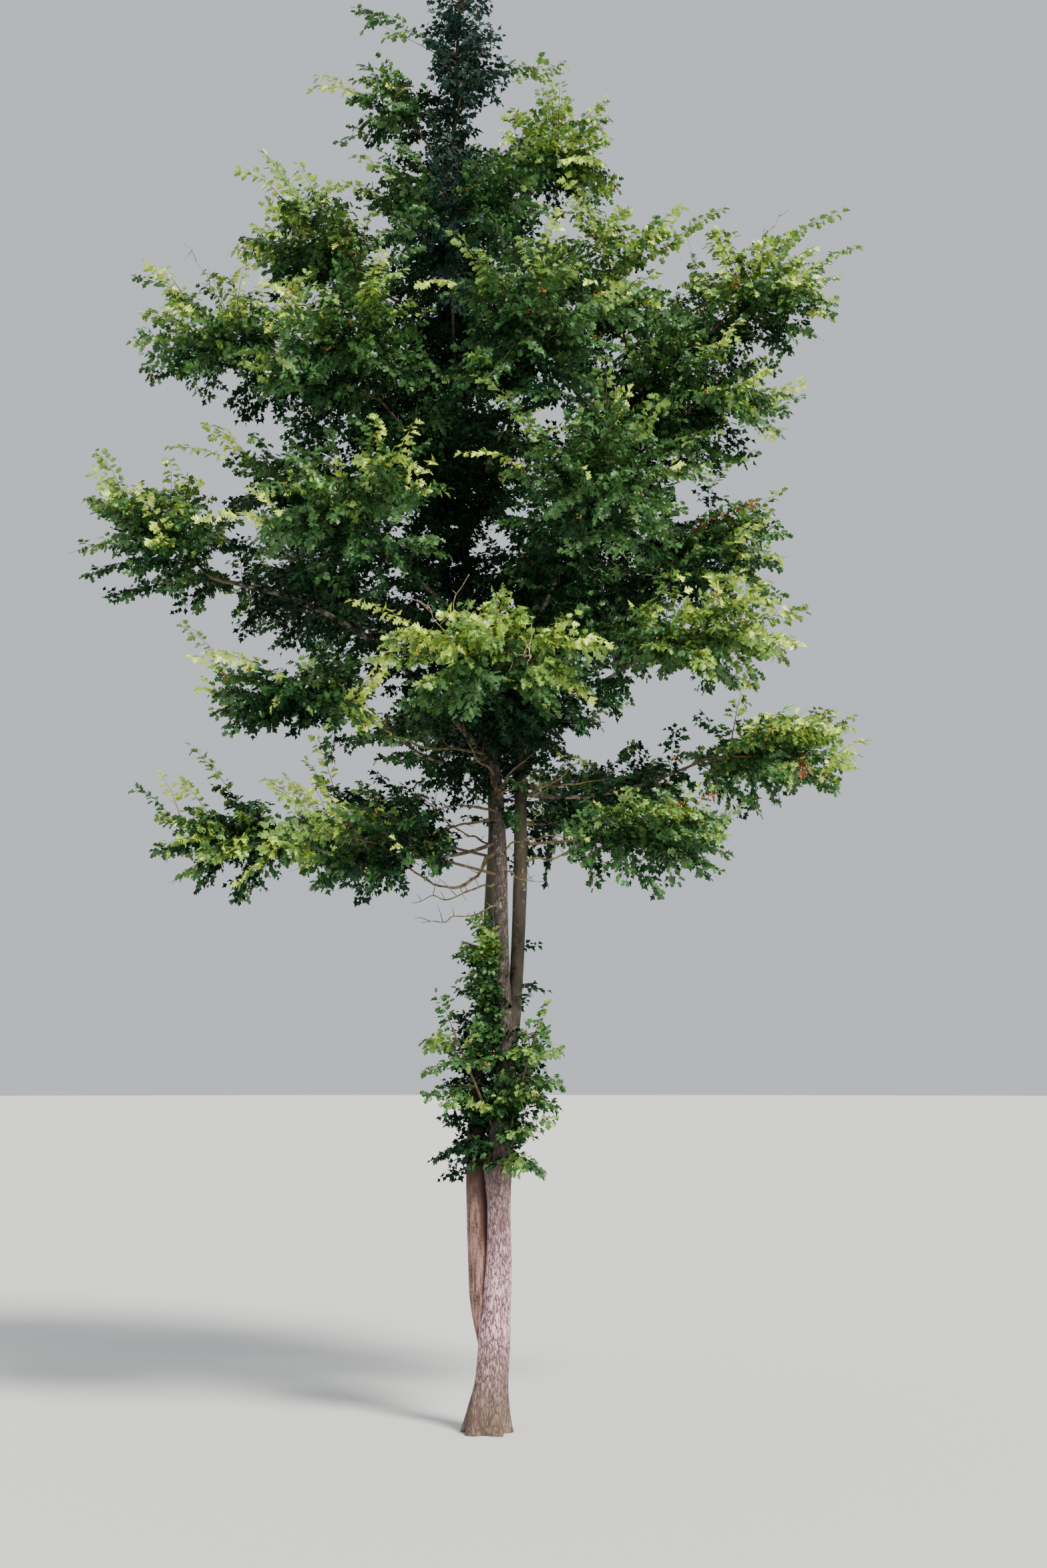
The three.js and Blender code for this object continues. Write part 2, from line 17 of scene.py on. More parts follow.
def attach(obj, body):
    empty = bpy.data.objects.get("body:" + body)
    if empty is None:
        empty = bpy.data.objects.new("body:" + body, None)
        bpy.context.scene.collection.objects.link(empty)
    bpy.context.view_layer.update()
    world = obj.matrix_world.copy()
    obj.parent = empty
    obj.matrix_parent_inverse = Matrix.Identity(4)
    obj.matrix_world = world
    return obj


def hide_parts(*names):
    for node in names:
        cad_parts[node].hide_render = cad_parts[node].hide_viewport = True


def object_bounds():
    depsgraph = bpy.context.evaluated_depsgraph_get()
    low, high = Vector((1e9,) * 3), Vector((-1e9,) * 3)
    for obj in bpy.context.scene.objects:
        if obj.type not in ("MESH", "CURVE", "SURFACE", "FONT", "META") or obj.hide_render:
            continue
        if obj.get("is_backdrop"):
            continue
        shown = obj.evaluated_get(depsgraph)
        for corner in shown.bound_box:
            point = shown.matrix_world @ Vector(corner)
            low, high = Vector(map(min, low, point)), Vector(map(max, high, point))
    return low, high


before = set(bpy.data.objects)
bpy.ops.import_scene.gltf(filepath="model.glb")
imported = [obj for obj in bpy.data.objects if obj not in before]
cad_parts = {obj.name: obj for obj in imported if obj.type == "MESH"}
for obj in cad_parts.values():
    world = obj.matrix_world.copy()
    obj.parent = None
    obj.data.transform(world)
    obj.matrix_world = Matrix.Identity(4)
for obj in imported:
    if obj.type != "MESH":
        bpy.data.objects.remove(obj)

solid_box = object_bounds()
print("solids reach from", [round(v, 3) for v in solid_box[0]], "to", [round(v, 3) for v in solid_box[1]])

# %% [markdown]
# ## Camera
# The picture was taken from eye height, ten metres off, with the camera tilted up. The tilt could
# be swapped for a lens shift, but a real photographer tilts, and the leaning lines of the upper
# crown come from that tilt.

# %% Camera
CAMERA_PLACE = (0.17, -10.2, 1.65)
CAMERA_TILT = 7.4
LENS_MM = 50
SENSOR_MM = 36
FARTHEST_SEEN = 300

lens = bpy.data.cameras.new("camera")
lens.lens = LENS_MM
lens.sensor_width = SENSOR_MM
lens.clip_end = FARTHEST_SEEN
camera = bpy.data.objects.new("camera", lens)
camera.location = CAMERA_PLACE
camera.rotation_euler = (math.radians(90 + CAMERA_TILT), 0, 0)
bpy.context.collection.objects.link(camera)
bpy.context.scene.camera = camera
print("camera at", CAMERA_PLACE, "tilted up", CAMERA_TILT, "degrees")

# %% [markdown]
# ## Nodes as sums
# A finish is a sum of a few patterns. Nodes could be placed and linked one by one, but the sums
# would be lost among the links. A small class wraps a socket, so that adding or multiplying two
# wires adds the Math node and its links, and one method makes every other node.

# %% Wires that add and multiply
class Wire:
    """A socket whose values can be added, subtracted and multiplied like numbers."""

    def __init__(self, finish, socket):
        self.finish = finish
        self.socket = socket

    def math(self, operation, first, second):
        return self.finish.node("ShaderNodeMath", {"operation": operation}, {0: first, 1: second})

    def __add__(self, other):
        return self.math("ADD", self, other)

    def __radd__(self, other):
        return self.math("ADD", other, self)

    def __sub__(self, other):
        return self.math("SUBTRACT", self, other)

    def __rsub__(self, other):
        return self.math("SUBTRACT", other, self)

    def __mul__(self, other):
        return self.math("MULTIPLY", self, other)

    def __rmul__(self, other):
        return self.math("MULTIPLY", other, self)

    def ramp(self, low, high):
        """0 below low, 1 above high and smooth between."""
        settings = {"interpolation_type": "SMOOTHSTEP", "clamp": True}
        return self.finish.node("ShaderNodeMapRange", settings, {0: self, 1: low, 2: high})


print("wires add, subtract and multiply")

# %% A finish and its nodes
class Finish:
    """A material and the wires that feed its shader."""

    def __init__(self, name, roughness):
        self.material = bpy.data.materials.new(name)
        self.material.use_nodes = True
        self.shader = self.material.node_tree.nodes["Principled BSDF"]
        self.shader.inputs["Roughness"].default_value = roughness

    def put(self, socket, value):
        if isinstance(value, Wire):
            self.material.node_tree.links.new(value.socket, socket)
        else:
            socket.default_value = value

    def node(self, kind, settings=None, inputs=None, output=0):
        made = self.material.node_tree.nodes.new(kind)
        for name, value in (settings or {}).items():
            setattr(made, name, value)
        for name, value in (inputs or {}).items():
            self.put(made.inputs[name], value)
        return Wire(self, made.outputs[output])

    def feed(self, name, value):
        self.put(self.shader.inputs[name], value)

    def place(self):
        return self.node("ShaderNodeTexCoord", output="Object")

    def place_along(self, axis):
        return self.node("ShaderNodeSeparateXYZ", inputs={0: self.place()}, output=axis)

    def stretched(self, scale):
        """Object coordinates, stretched where the scale is small."""
        return self.node("ShaderNodeMapping", inputs={"Vector": self.place(), "Scale": scale})

    def grain(self, vector, scale=1.0, detail=3.0, roughness=0.55):
        inputs = {"Vector": vector, "Scale": scale, "Detail": detail, "Roughness": roughness}
        return self.node("ShaderNodeTexNoise", inputs=inputs)

    def mix(self, share, first, second):
        """A blend of two colours."""
        settings = {"data_type": "RGBA", "blend_type": "MIX"}
        return self.node("ShaderNodeMix", settings, {0: share, 6: first, 7: second}, output=2)

    def bump(self, height, strength, distance):
        inputs = {"Height": height, "Strength": strength, "Distance": distance}
        self.feed("Normal", self.node("ShaderNodeBump", inputs=inputs))


print("a finish is a shader with wires to its sockets")

# %% Colours as they are picked on a screen
def colour(red, green, blue):
    """A colour as it is picked on a screen, made linear for the shader."""
    def linear(value):
        share = value / 255
        return share / 12.92 if share <= 0.04045 else ((share + 0.055) / 1.055) ** 2.4
    return (linear(red), linear(green), linear(blue), 1.0)


def toned(tint, share):
    """A darker or lighter version of a colour."""
    return tuple(min(1, share * value) for value in tint[:3]) + (1,)


print("a screen grey of 128 is", round(colour(128, 128, 128)[0], 3), "in linear light")

# %% [markdown]
# ## Floor and light
# A tree needs room round it. The floor is one large pale disc under a pale sky, so that it looks
# the same from every side. A backdrop wall would stand in the way when the view turns. The light
# is a broad, soft sun from the upper right in front and the even sky.

# %% Floor
FLOOR_RADIUS = 120
FLOOR_SIDES = 96
FLOOR_TONE = colour(222, 222, 218)

shape = bmesh.new()
bmesh.ops.create_circle(shape, cap_ends=True, segments=FLOOR_SIDES, radius=FLOOR_RADIUS)
floor_mesh = bpy.data.meshes.new("floor")
shape.to_mesh(floor_mesh)
shape.free()
floor = bpy.data.objects.new("floor", floor_mesh)
bpy.context.collection.objects.link(floor)
floor_finish = Finish("pale_floor", 0.95)
floor_finish.feed("Base Color", FLOOR_TONE)
floor_mesh.materials.append(floor_finish.material)
floor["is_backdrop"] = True
print("floor", FLOOR_RADIUS, "m in radius")

# %% Sun and sky
SUN_FROM = Vector((0.55, -0.75, 1.0))
SUN_STRENGTH = 5.4
SUN_SPREAD = 14
SUN_COLOUR = (1.0, 0.96, 0.88)
SKY_STRENGTH = 0.74
SKY_COLOUR = (0.86, 0.91, 0.97, 1)

sun_data = bpy.data.lights.new("sun", "SUN")
sun_data.energy = SUN_STRENGTH
sun_data.angle = math.radians(SUN_SPREAD)
sun_data.color = SUN_COLOUR
sun = bpy.data.objects.new("sun", sun_data)
sun.rotation_euler = SUN_FROM.to_track_quat("Z", "Y").to_euler()
bpy.context.collection.objects.link(sun)

sky = bpy.data.worlds.new("sky")
bpy.context.scene.world = sky
sky.use_nodes = True
sky.node_tree.nodes["Background"].inputs["Color"].default_value = SKY_COLOUR
sky.node_tree.nodes["Background"].inputs["Strength"].default_value = SKY_STRENGTH
print("sun spread", SUN_SPREAD, "degrees, sky at", SKY_STRENGTH)

# %% [markdown]
# ## The rule of growth
# The solids were worked out in millimetres from named sizes. The leaves have to grow on from the
# same limbs, so the same sizes and the same rule are written again here. They could be read off
# the solids' meshes, but then nobody could change the tree and see why it grows as it does.

# %% Sizes of the limbs
MM = 0.001
TREE_HEIGHT = 7100
TRUNK_TOP = 0.955 * TREE_HEIGHT
SEAT_GAP = 0.3

# Height, x, y and radius
TRUNK_STATIONS = (
    (0, 0, 0, 84), (190, 20, 0, 74), (470, 44, 0, 63), (760, 57, 0, 57), (1050, 60, 0, 50),
    (1650, 84, 0, 44), (2080, 72, -8, 33), (2930, 47, -6, 28), (3350, -8, 20, 25),
    (3830, -81, 60, 22), (4770, -165, 70, 16), (5540, -173, 40, 12), (6120, -176, 20, 9),
    (TRUNK_TOP, -150, 0, 6),
)
LEFT_STEM_STATIONS = (
    (300, 20, 15, 36), (560, -34, 34, 36), (760, -47, 38, 38), (950, -51, 40, 41),
    (1150, -58, 50, 38), (1650, -40, 90, 31), (2460, 13, 125, 24), (2920, 20, 145, 21),
    (3500, -70, 230, 17), (4250, -260, 420, 12),
)
RIGHT_STEM_STATIONS = (
    (1620, 84, 5, 30), (1850, 122, 20, 33), (2080, 138, 30, 31), (2460, 154, 32, 32),
    (2930, 157, 32, 29), (3530, 164, 35, 25), (3880, 172, 40, 22), (4120, 250, 45, 19),
    (4300, 413, 40, 17), (4900, 640, 10, 12),
)
LIMB_STATIONS = {
    "trunk": TRUNK_STATIONS, "left_stem": LEFT_STEM_STATIONS, "right_stem": RIGHT_STEM_STATIONS,
}
print({name: len(stations) for name, stations in LIMB_STATIONS.items()}, "stations on the limbs")

# %% [markdown]
# ## The masses of the crown
# The crown is a heap of separate masses of leaves with air between them. One big cloud of leaves
# would be quicker, but the sky has to show through in the same places. So each mass is listed
# with its place, half its sizes and the bough that carries it, under the limb that it grows from.

# %% Sizes of the masses
# Name, height where the bough leaves its limb (None at the limb's tip), centre and half sizes of
# the space, the bough's radius (None without a bough) and how far the bough bends down
MASSES = {
    "trunk": (
        ("left_low_outer", 2700, (-1080, -120, 2700), (460, 400, 290), 9, 80),
        ("left_low_near", 2540, (-500, -480, 2650), (360, 360, 270), None, 0),
        ("left_arch", 3120, (-820, -360, 3310), (450, 400, 290), 9, 110),
        ("front_shelf", 3250, (40, -930, 3450), (450, 540, 320), 12, -20),
        ("left_big_inner", 3900, (-850, 60, 4400), (450, 440, 400), 12, 10),
        ("left_front", 3620, (-580, -830, 4100), (470, 460, 400), 11, -20),
        ("left_mid_outer", 4560, (-1240, 30, 5150), (490, 430, 320), 11, -40),
        ("left_mid_front", 4300, (-640, -600, 4900), (460, 450, 400), 10, -10),
        ("front_mid", 4120, (200, -800, 4900), (450, 500, 420), 11, -10),
        ("back_upper", 4900, (140, 700, 5480), (460, 500, 410), 9, -20),
        ("left_upper", 5080, (-740, 60, 5630), (490, 450, 350), 9, -30),
        ("front_upper", 5050, (-160, -500, 5580), (400, 440, 400), None, 0),
        ("right_crest", 5420, (320, 0, 6060), (330, 360, 470), 8, -30),
        ("left_crest", 5980, (-440, 40, 6350), (260, 280, 320), None, 0),
        ("back_crest", 5700, (-210, 330, 6080), (300, 330, 400), None, 0),
        ("spire_side", 6200, (-110, -130, 6480), (230, 220, 330), None, 0),
        ("spire_top", None, (-150, 0, 6880), (170, 150, 225), None, 0),
        ("tuft_left", 1270, (-100, -140, 1690), (190, 200, 500), None, 0),
        ("tuft_right", 1220, (180, -120, 1640), (180, 190, 460), None, 0),
    ),
    "left_stem": (
        ("left_low_back", 2640, (-620, 720, 2850), (480, 450, 300), None, 0),
        ("back_shelf", 3080, (0, 1020, 3470), (480, 580, 340), 11, 0),
        ("left_big_outer", 3130, (-1500, -20, 4150), (500, 450, 340), 18, -170),
        ("back_left", 3700, (-800, 940, 4130), (490, 480, 400), 11, 0),
        ("back_mid", None, (-260, 960, 4830), (470, 580, 430), None, 0),
    ),
    "right_stem": (
        ("right_low", 2690, (720, -300, 2700), (400, 360, 290), None, 0),
        ("right_low_outer", 2930, (1300, 0, 3110), (430, 400, 290), 11, 60),
        ("right_low_back", 2800, (620, 800, 2970), (480, 450, 320), 9, 30),
        ("right_shelf", 3330, (1010, -260, 3650), (480, 440, 300), 12, 30),
        ("right_front", 3600, (520, -870, 4180), (470, 470, 400), 12, -20),
        ("right_centre", 3720, (980, 150, 4200), (450, 460, 380), 13, -30),
        ("back_right", 3480, (640, 980, 4060), (490, 480, 410), 12, -20),
        ("right_mid", 4330, (990, -60, 4800), (460, 470, 390), 12, -10),
        ("right_upper_outer", 4720, (1240, 10, 5380), (450, 400, 310), 9, -50),
        ("right_upper_inner", None, (590, -60, 5450), (400, 440, 390), None, 0),
    ),
}
print(sum(len(masses) for masses in MASSES.values()), "masses of leaves")

# %% [markdown]
# ## The seeded draw
# The source makes its draws with a small generator of its own, so that every run gives the same
# tree. Python's generator would give other numbers and another tree, so the same few steps of
# whole-number sums are written again here.

# %% The seeded draw
WORD = 0xFFFFFFFF
SEED_STRIDE = 7919
DRAW_STEP = 0x6D2B79F5


def seeded(seed):
    state = (seed + 1) * SEED_STRIDE

    def draw():
        nonlocal state
        state = (state + DRAW_STEP) & WORD
        mixed = ((state ^ (state >> 15)) * (1 | state)) & WORD
        mixed = ((mixed + ((mixed ^ (mixed >> 7)) * (61 | mixed) & WORD)) ^ mixed) & WORD
        return ((mixed ^ (mixed >> 14)) & WORD) / (WORD + 1)

    return draw


print("first draw of seed 0:", round(seeded(0)(), 4))

# %% [markdown]
# ## Routes
# Each limb follows a smooth curve through its stations. Blender's own curves could hold it, but
# here the curve is also asked for the point at any share of its length, so it is worked out as a
# dense line.

# %% A route
UP = np.array((0.0, 0.0, 1.0))
SIDEWAYS = np.array((1.0, 0.0, 0.0))
HEADING_REACH = 0.002


def unit(vector):
    return vector / np.linalg.norm(vector)


class Route:
    """A smooth line through points, read by the share of its length."""

    STEPS = 40

    def __init__(self, points):
        points = np.array(points, float)
        ends = np.vstack([2 * points[0] - points[1], points, 2 * points[-1] - points[-2]])
        line = [points[0]]
        for stretch in zip(ends, ends[1:], ends[2:], ends[3:]):
            line += self.between(*stretch)
        self.line = np.array(line)
        steps = np.linalg.norm(np.diff(self.line, axis=0), axis=1)
        self.run = np.concatenate([[0], np.cumsum(steps)])
        self.length = self.run[-1]

    def between(self, before, start, end, after):
        """Points from start to end on a cubic that looks at the point before and the one after."""
        pairs = ((before, start), (start, end), (end, after))
        first, own, last = [np.linalg.norm(b - a) ** 0.5 for a, b in pairs]
        lead = (start - before) / first - (end - before) / (first + own) + (end - start) / own
        trail = (end - start) / own - (after - start) / (own + last) + (after - end) / last
        lead *= own
        trail *= own
        square = 3 * (end - start) - 2 * lead - trail
        cube = 2 * (start - end) + lead + trail
        shares = [step / self.STEPS for step in range(1, self.STEPS + 1)]
        return [start + lead * t + square * t * t + cube * t ** 3 for t in shares]

    def at(self, share):
        reach = np.clip(share, 0, 1) * self.length
        return np.stack([np.interp(reach, self.run, self.line[:, axis]) for axis in range(3)], axis=-1)

    def heading(self, share):
        ahead = self.at(min(share + HEADING_REACH, 1))
        return unit(ahead - self.at(max(share - HEADING_REACH, 0)))


routes = {}
for name, stations in LIMB_STATIONS.items():
    routes[name] = Route([(x, y, z) for z, x, y, _ in stations])
    print(name, round(routes[name].length * MM, 2), "m long")

# %% Points and radii on the limbs
CLOSE_ENOUGH = 1e-5
FLARE_HEIGHT = 420
FLARE_SPREAD = 0.5
FLARE_BUTTRESSES = 5


def point_on(route, height):
    """The point of a rising route at a height, found by halving, or its tip for None."""
    if height is None:
        return route.at(1)
    low, high = 0.0, 1.0
    while high - low > CLOSE_ENOUGH:
        middle = (low + high) / 2
        if route.at(middle)[2] < height:
            low = middle
        else:
            high = middle
    return route.at(low)


def station_radius(stations, z):
    return np.interp(z, [s[0] for s in stations], [s[3] for s in stations])


def flare(z, angle):
    """How much wider the trunk is near the ground, most of all on its buttresses."""
    fade = np.maximum(0, 1 - z / FLARE_HEIGHT) ** 2
    buttress = 0.5 + 0.5 * np.cos(FLARE_BUTTRESSES * angle + 1)
    return 1 + FLARE_SPREAD * fade * buttress


print("trunk", round(2 * float(station_radius(TRUNK_STATIONS, 500))), "mm thick at half a metre")

# %% [markdown]
# ## The space of each mass
# Every mass of leaves keeps to its own ellipsoid, and a flat wall stands between each two of
# them. That could be left to chance, but then neighbours would grow through each other. Upright
# distances count double, because the crown of a hawthorn lies in wide, shallow layers.

# %% The space of each mass
LEAF_LENGTH = 370
SPACE_CLEARANCE = 4
LAYER_STRETCH = 4
FULL_SPACE = 820


class Space:
    """An ellipsoid turned to its heading, with a wall towards every other one."""

    def __init__(self, on, name, height, at, half, bough, sag):
        self.on = on
        self.name = name
        self.bough = bough
        self.sag = sag
        self.on_tip = bough is not None or height is None
        self.source = point_on(routes[on], height)
        self.centre = np.array(at, float)
        self.half = np.array(half, float)
        heading = math.atan2(self.centre[1] - self.source[1], self.centre[0] - self.source[0])
        ahead = np.array((math.cos(heading), math.sin(heading), 0))
        self.axes = np.array((ahead, (-ahead[1], ahead[0], 0), UP))
        self.leaf_length = LEAF_LENGTH * min(1, (half[0] + half[1]) / FULL_SPACE)
        self.normals = np.zeros((0, 3))
        self.limits = np.zeros(0)

    def support(self, direction):
        return np.linalg.norm((self.axes @ direction) * self.half)

    def wall_to(self, other):
        """Adds a wall that shares the way between two centres by the sizes of their spaces."""
        normal = (other.centre - self.centre) * (1, 1, LAYER_STRETCH)
        share = self.support(normal) / (self.support(normal) + other.support(normal))
        limit = normal @ self.centre + normal @ (other.centre - self.centre) * share
        self.normals = np.vstack([self.normals, normal])
        self.limits = np.append(self.limits, limit - SPACE_CLEARANCE * np.linalg.norm(normal))

    def radial(self, points):
        """0 at the centre and 1 on the surface of the ellipsoid."""
        offset = (np.atleast_2d(points) - self.centre) @ self.axes.T
        return np.sum((offset / self.half) ** 2, axis=1)

    def holds(self, points, size=1.0):
        points = np.atleast_2d(points)
        within = self.radial(points) <= size ** 2
        return within & np.all(points @ self.normals.T < self.limits, axis=1) & (points[:, 2] > 0)

    def entry(self):
        """The way from the limb to the centre, and how far the surface is from the centre there."""
        direction = unit(self.centre - self.source)
        radius = 1 / np.linalg.norm((self.axes @ direction) / self.half)
        return direction, radius


spaces = [Space(on, *row) for on, masses in MASSES.items() for row in masses]
for space in spaces:
    for other in spaces:
        if other is not space:
            space.wall_to(other)
print(len(spaces), "spaces, each with", len(spaces[0].limits), "walls")

# %% [markdown]
# ## Boughs and the masses' own stems
# A bough leaves its limb, bends a little and ends where it enters its mass. The mass's own stem
# runs on from there to the far side and levels out where the space is a shallow layer. One long
# branch could do both, but the solids are split there, and so the leaves know whose they are.

# %% Routes of the boughs
ENTRY_SHARE = 0.86
BOUGH_POINTS = 6
BOUGH_SWAY = 0.025


def bough_route(space, random):
    direction, radius = space.entry()
    span = space.centre - ENTRY_SHARE * radius * direction - space.source
    sideways = np.array((-span[1], span[0], 0))
    points = []
    for i in range(BOUGH_POINTS):
        share = i / (BOUGH_POINTS - 1)
        point = space.source + span * share - UP * space.sag * 4 * share * (1 - share)
        sway = (random() - 0.5) * 2 * BOUGH_SWAY
        points.append(point + sideways * sway * math.sin(math.pi * share) if i else point)
    return Route(points)


for index, space in enumerate(spaces):
    if space.bough:
        routes["bough_" + space.name] = bough_route(space, seeded(index))
print(sum(1 for space in spaces if space.bough), "boughs")

# %% Routes of the masses' own stems
STEM_LEVELLING = 0.6
STEM_SHORTEST = 0.3
STEM_LEAD = 0.3
STEM_PULL = 0.3
SIDE_STEM_PULL = 0.4
BOUGH_TAPER = 0.62
BARE_STEM_BASE = 8


def stem_route(space):
    direction, radius = space.entry()
    seat = routes["bough_" + space.name] if space.bough else routes[space.on]
    lead = direction
    if space.on_tip:
        lead = UP if seat is routes["trunk"] else seat.heading(1)
    start = seat.at(1) + SEAT_GAP * lead if space.on_tip else space.source
    level = direction.copy()
    level[2] *= STEM_LEVELLING if space.half[2] < space.half[0] else 1
    reach = max(STEM_SHORTEST * radius, radius - space.leaf_length)
    near = start + STEM_LEAD * radius * lead
    if not space.on_tip:
        near = start + SIDE_STEM_PULL * (space.centre - start)
    middle = space.centre + STEM_PULL * (near - space.centre)
    return Route([start, near, middle, space.centre + reach * unit(level)])


for space in spaces:
    space.stem = stem_route(space)
    space.stem_base = space.bough * BOUGH_TAPER if space.bough else BARE_STEM_BASE
print(len(spaces), "stems in the masses")

# %% Radii of the boughs and stems
COLLAR_LENGTH = 70
COLLAR_SWELL = 0.35
TWIG_BASE = 7


def bough_radius(space, share):
    """A bough tapers, and a collar swells it where it leaves its limb."""
    length = routes["bough_" + space.name].length
    collar = np.maximum(0, 1 - share * length / (2 * COLLAR_LENGTH)) ** 2
    return space.bough * (1 - (1 - BOUGH_TAPER) * share) * (1 + COLLAR_SWELL * collar)


def stem_radius(space, share):
    return space.stem_base + (TWIG_BASE - space.stem_base) * share


print("stems start", BARE_STEM_BASE, "mm or a bough's end in radius and taper to", TWIG_BASE, "mm")

# %% [markdown]
# ## Keeping clear of wood
# A twig stops where it would leave its space or come close to other wood. The limbs' meshes could
# be asked for the nearest point, but that takes long for thousands of points. So the wood is kept
# as a list of short straight pieces with a radius, which is quick to measure against.

# %% The wood as straight pieces
LIMB_STEPS = {"trunk": 24, "left_stem": 12, "right_stem": 12}
BOUGH_STEPS = 5
STEM_STEPS = 3


def pieces_of(route, steps, radius_at):
    """A limb as straight pieces: their starts, their ends and their radii."""
    shares = np.arange(steps + 1) / steps
    centres = route.at(shares)
    radii = np.array([radius_at(share, z) for share, z in zip(shares, centres[:, 2])])
    return centres[:-1], centres[1:], radii[:-1]


wood = []
for name, stations in LIMB_STATIONS.items():
    wood.append(pieces_of(routes[name], LIMB_STEPS[name], lambda share, z: station_radius(stations, z)))
for space in spaces:
    if space.bough:
        route = routes["bough_" + space.name]
        wood.append(pieces_of(route, BOUGH_STEPS, lambda share, z: bough_radius(space, share)))
for space in spaces:
    wood.append(pieces_of(space.stem, STEM_STEPS, lambda share, z: stem_radius(space, share)))
owners = np.concatenate([np.full(len(piece[0]), i) for i, piece in enumerate(wood)])
wood_start = np.vstack([piece[0] for piece in wood])
wood_run = np.vstack([piece[1] for piece in wood]) - wood_start
wood_radius = np.concatenate([piece[2] for piece in wood])
first_stem = len(wood) - len(spaces)
print(len(wood_start), "pieces of wood")

# %% How far a twig can run
MARCH = 15
LIMB_CLEARANCE = 6


def wood_distance(points, index):
    """Distance from each point to the nearest wood that isn't the mass's own stem."""
    kept = owners != first_stem + index
    start, run, radius = wood_start[kept], wood_run[kept], wood_radius[kept]
    offset = points[:, None, :] - start
    share = np.clip(np.sum(offset * run, axis=2) / np.sum(run * run, axis=1), 0, 1)
    foot = offset - share[..., None] * run
    return np.min(np.linalg.norm(foot, axis=2) - radius, axis=1)


def free_length(index, start, direction, longest):
    """How far a straight shoot can run, in steps."""
    steps = np.arange(MARCH, longest + MARCH, MARCH)
    points = start + np.outer(steps, direction)
    clear = wood_distance(points, index) >= LIMB_CLEARANCE + TWIG_BASE
    open_way = spaces[index].holds(points) & clear
    blocked = np.argmin(open_way) if not open_way.all() else len(steps)
    return MARCH * int(blocked)


print("a twig is followed in steps of", MARCH, "mm")

# %% [markdown]
# ## Bark with relief
# The trunk and stems could be plain tubes with a bump, but the outline of a trunk shows its
# plates and knots. A flat grid is rolled round the route of the limb, each row of it a ring, and
# every point is pushed in or out by noise. Operators make the grid, close its seam and its ends.

# %% Plates and knots
PLATE_PUSH = 0.6
FINE_PUSH = 0.3
FINE_SCALE = 2.7
RIPPLE_SCALE = 0.2
RIPPLE_LENGTH = 260


class Bark:
    """How rough a limb's surface is: depth and size of its plates, and its knots."""

    def __init__(self, depth, width, length, ripple, knots=()):
        self.depth = depth
        self.width = width
        self.length = length
        self.ripple = ripple
        self.knots = knots

    def push(self, angle, radius, z):
        """How far the surface stands out at an angle and a height."""
        around = Vector((math.cos(angle) * radius, math.sin(angle) * radius, 0)) / self.width
        seat = Vector((around.x, around.y, z / self.length))
        plate = 1 - 2 * abs(noise.noise(seat))
        fine = noise.noise(seat * FINE_SCALE)
        slow_seat = Vector((around.x * RIPPLE_SCALE, around.y * RIPPLE_SCALE, z / RIPPLE_LENGTH))
        slow = noise.noise(slow_seat)
        out = self.depth * (PLATE_PUSH * plate + FINE_PUSH * fine) + self.ripple * slow * radius
        for height, side, size, reach in self.knots:
            turn = math.atan2(math.sin(angle - side), math.cos(angle - side)) * radius
            out += size * math.exp(-((z - height) ** 2 + turn ** 2) / reach ** 2)
        return out


print("bark has plates, ripples and knots")

# %% A limb rolled from a grid
def frames_along(route, shares, upright):
    """Centres and two crosswise directions for every ring."""
    centres = route.at(shares)
    sides, fronts = [], []
    side = SIDEWAYS
    for share in shares:
        ahead = UP if upright else route.heading(share)
        side = unit(side - ahead * (side @ ahead))
        sides.append(side)
        fronts.append(np.cross(ahead, side))
    return centres, np.array(sides), np.array(fronts)


def roll_limb(shape, route, radius_at, sides, shares, bark, upright=False):
    """Adds a limb to a bmesh as a grid rolled into a tube."""
    rings = len(shares) - 1
    grid = bmesh.ops.create_grid(shape, x_segments=sides, y_segments=rings, size=1)
    centres, ways, fronts = frames_along(route, shares, upright)
    for vertex in grid["verts"]:
        ring = round((vertex.co.y + 1) / 2 * rings)
        angle = math.pi * (vertex.co.x + 1)
        centre = centres[ring]
        radius = radius_at(shares[ring], angle, centre[2])
        radius += bark.push(angle, radius, centre[2])
        point = centre + radius * (math.cos(angle) * ways[ring] + math.sin(angle) * fronts[ring])
        vertex.co = point * MM
    bmesh.ops.remove_doubles(shape, verts=grid["verts"], dist=1e-6)
    ends = [e for e in shape.edges if e.is_boundary]
    bmesh.ops.holes_fill(shape, edges=ends, sides=0)


print("a limb is a grid with its seam and ends closed")

# %% A piece of the tree
def finish_piece(mesh, name, finish, nodes, smooth=True):
    """Turns a mesh into a piece that stands in for CAD nodes."""
    if smooth:
        mesh.polygons.foreach_set("use_smooth", np.ones(len(mesh.polygons), bool))
    mesh.materials.append(finish.material)
    piece = bpy.data.objects.new(name, mesh)
    bpy.context.collection.objects.link(piece)
    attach(piece, "root")
    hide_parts(*nodes)
    mesh.calc_loop_triangles()
    print(name, len(mesh.loop_triangles), "triangles")


def piece_from(shape, name, finish, nodes):
    """Turns a bmesh into a piece."""
    bmesh.ops.recalc_face_normals(shape, faces=shape.faces)
    mesh = bpy.data.meshes.new(name)
    shape.to_mesh(mesh)
    shape.free()
    finish_piece(mesh, name, finish, nodes)


print("every piece rides on the tree's one body")

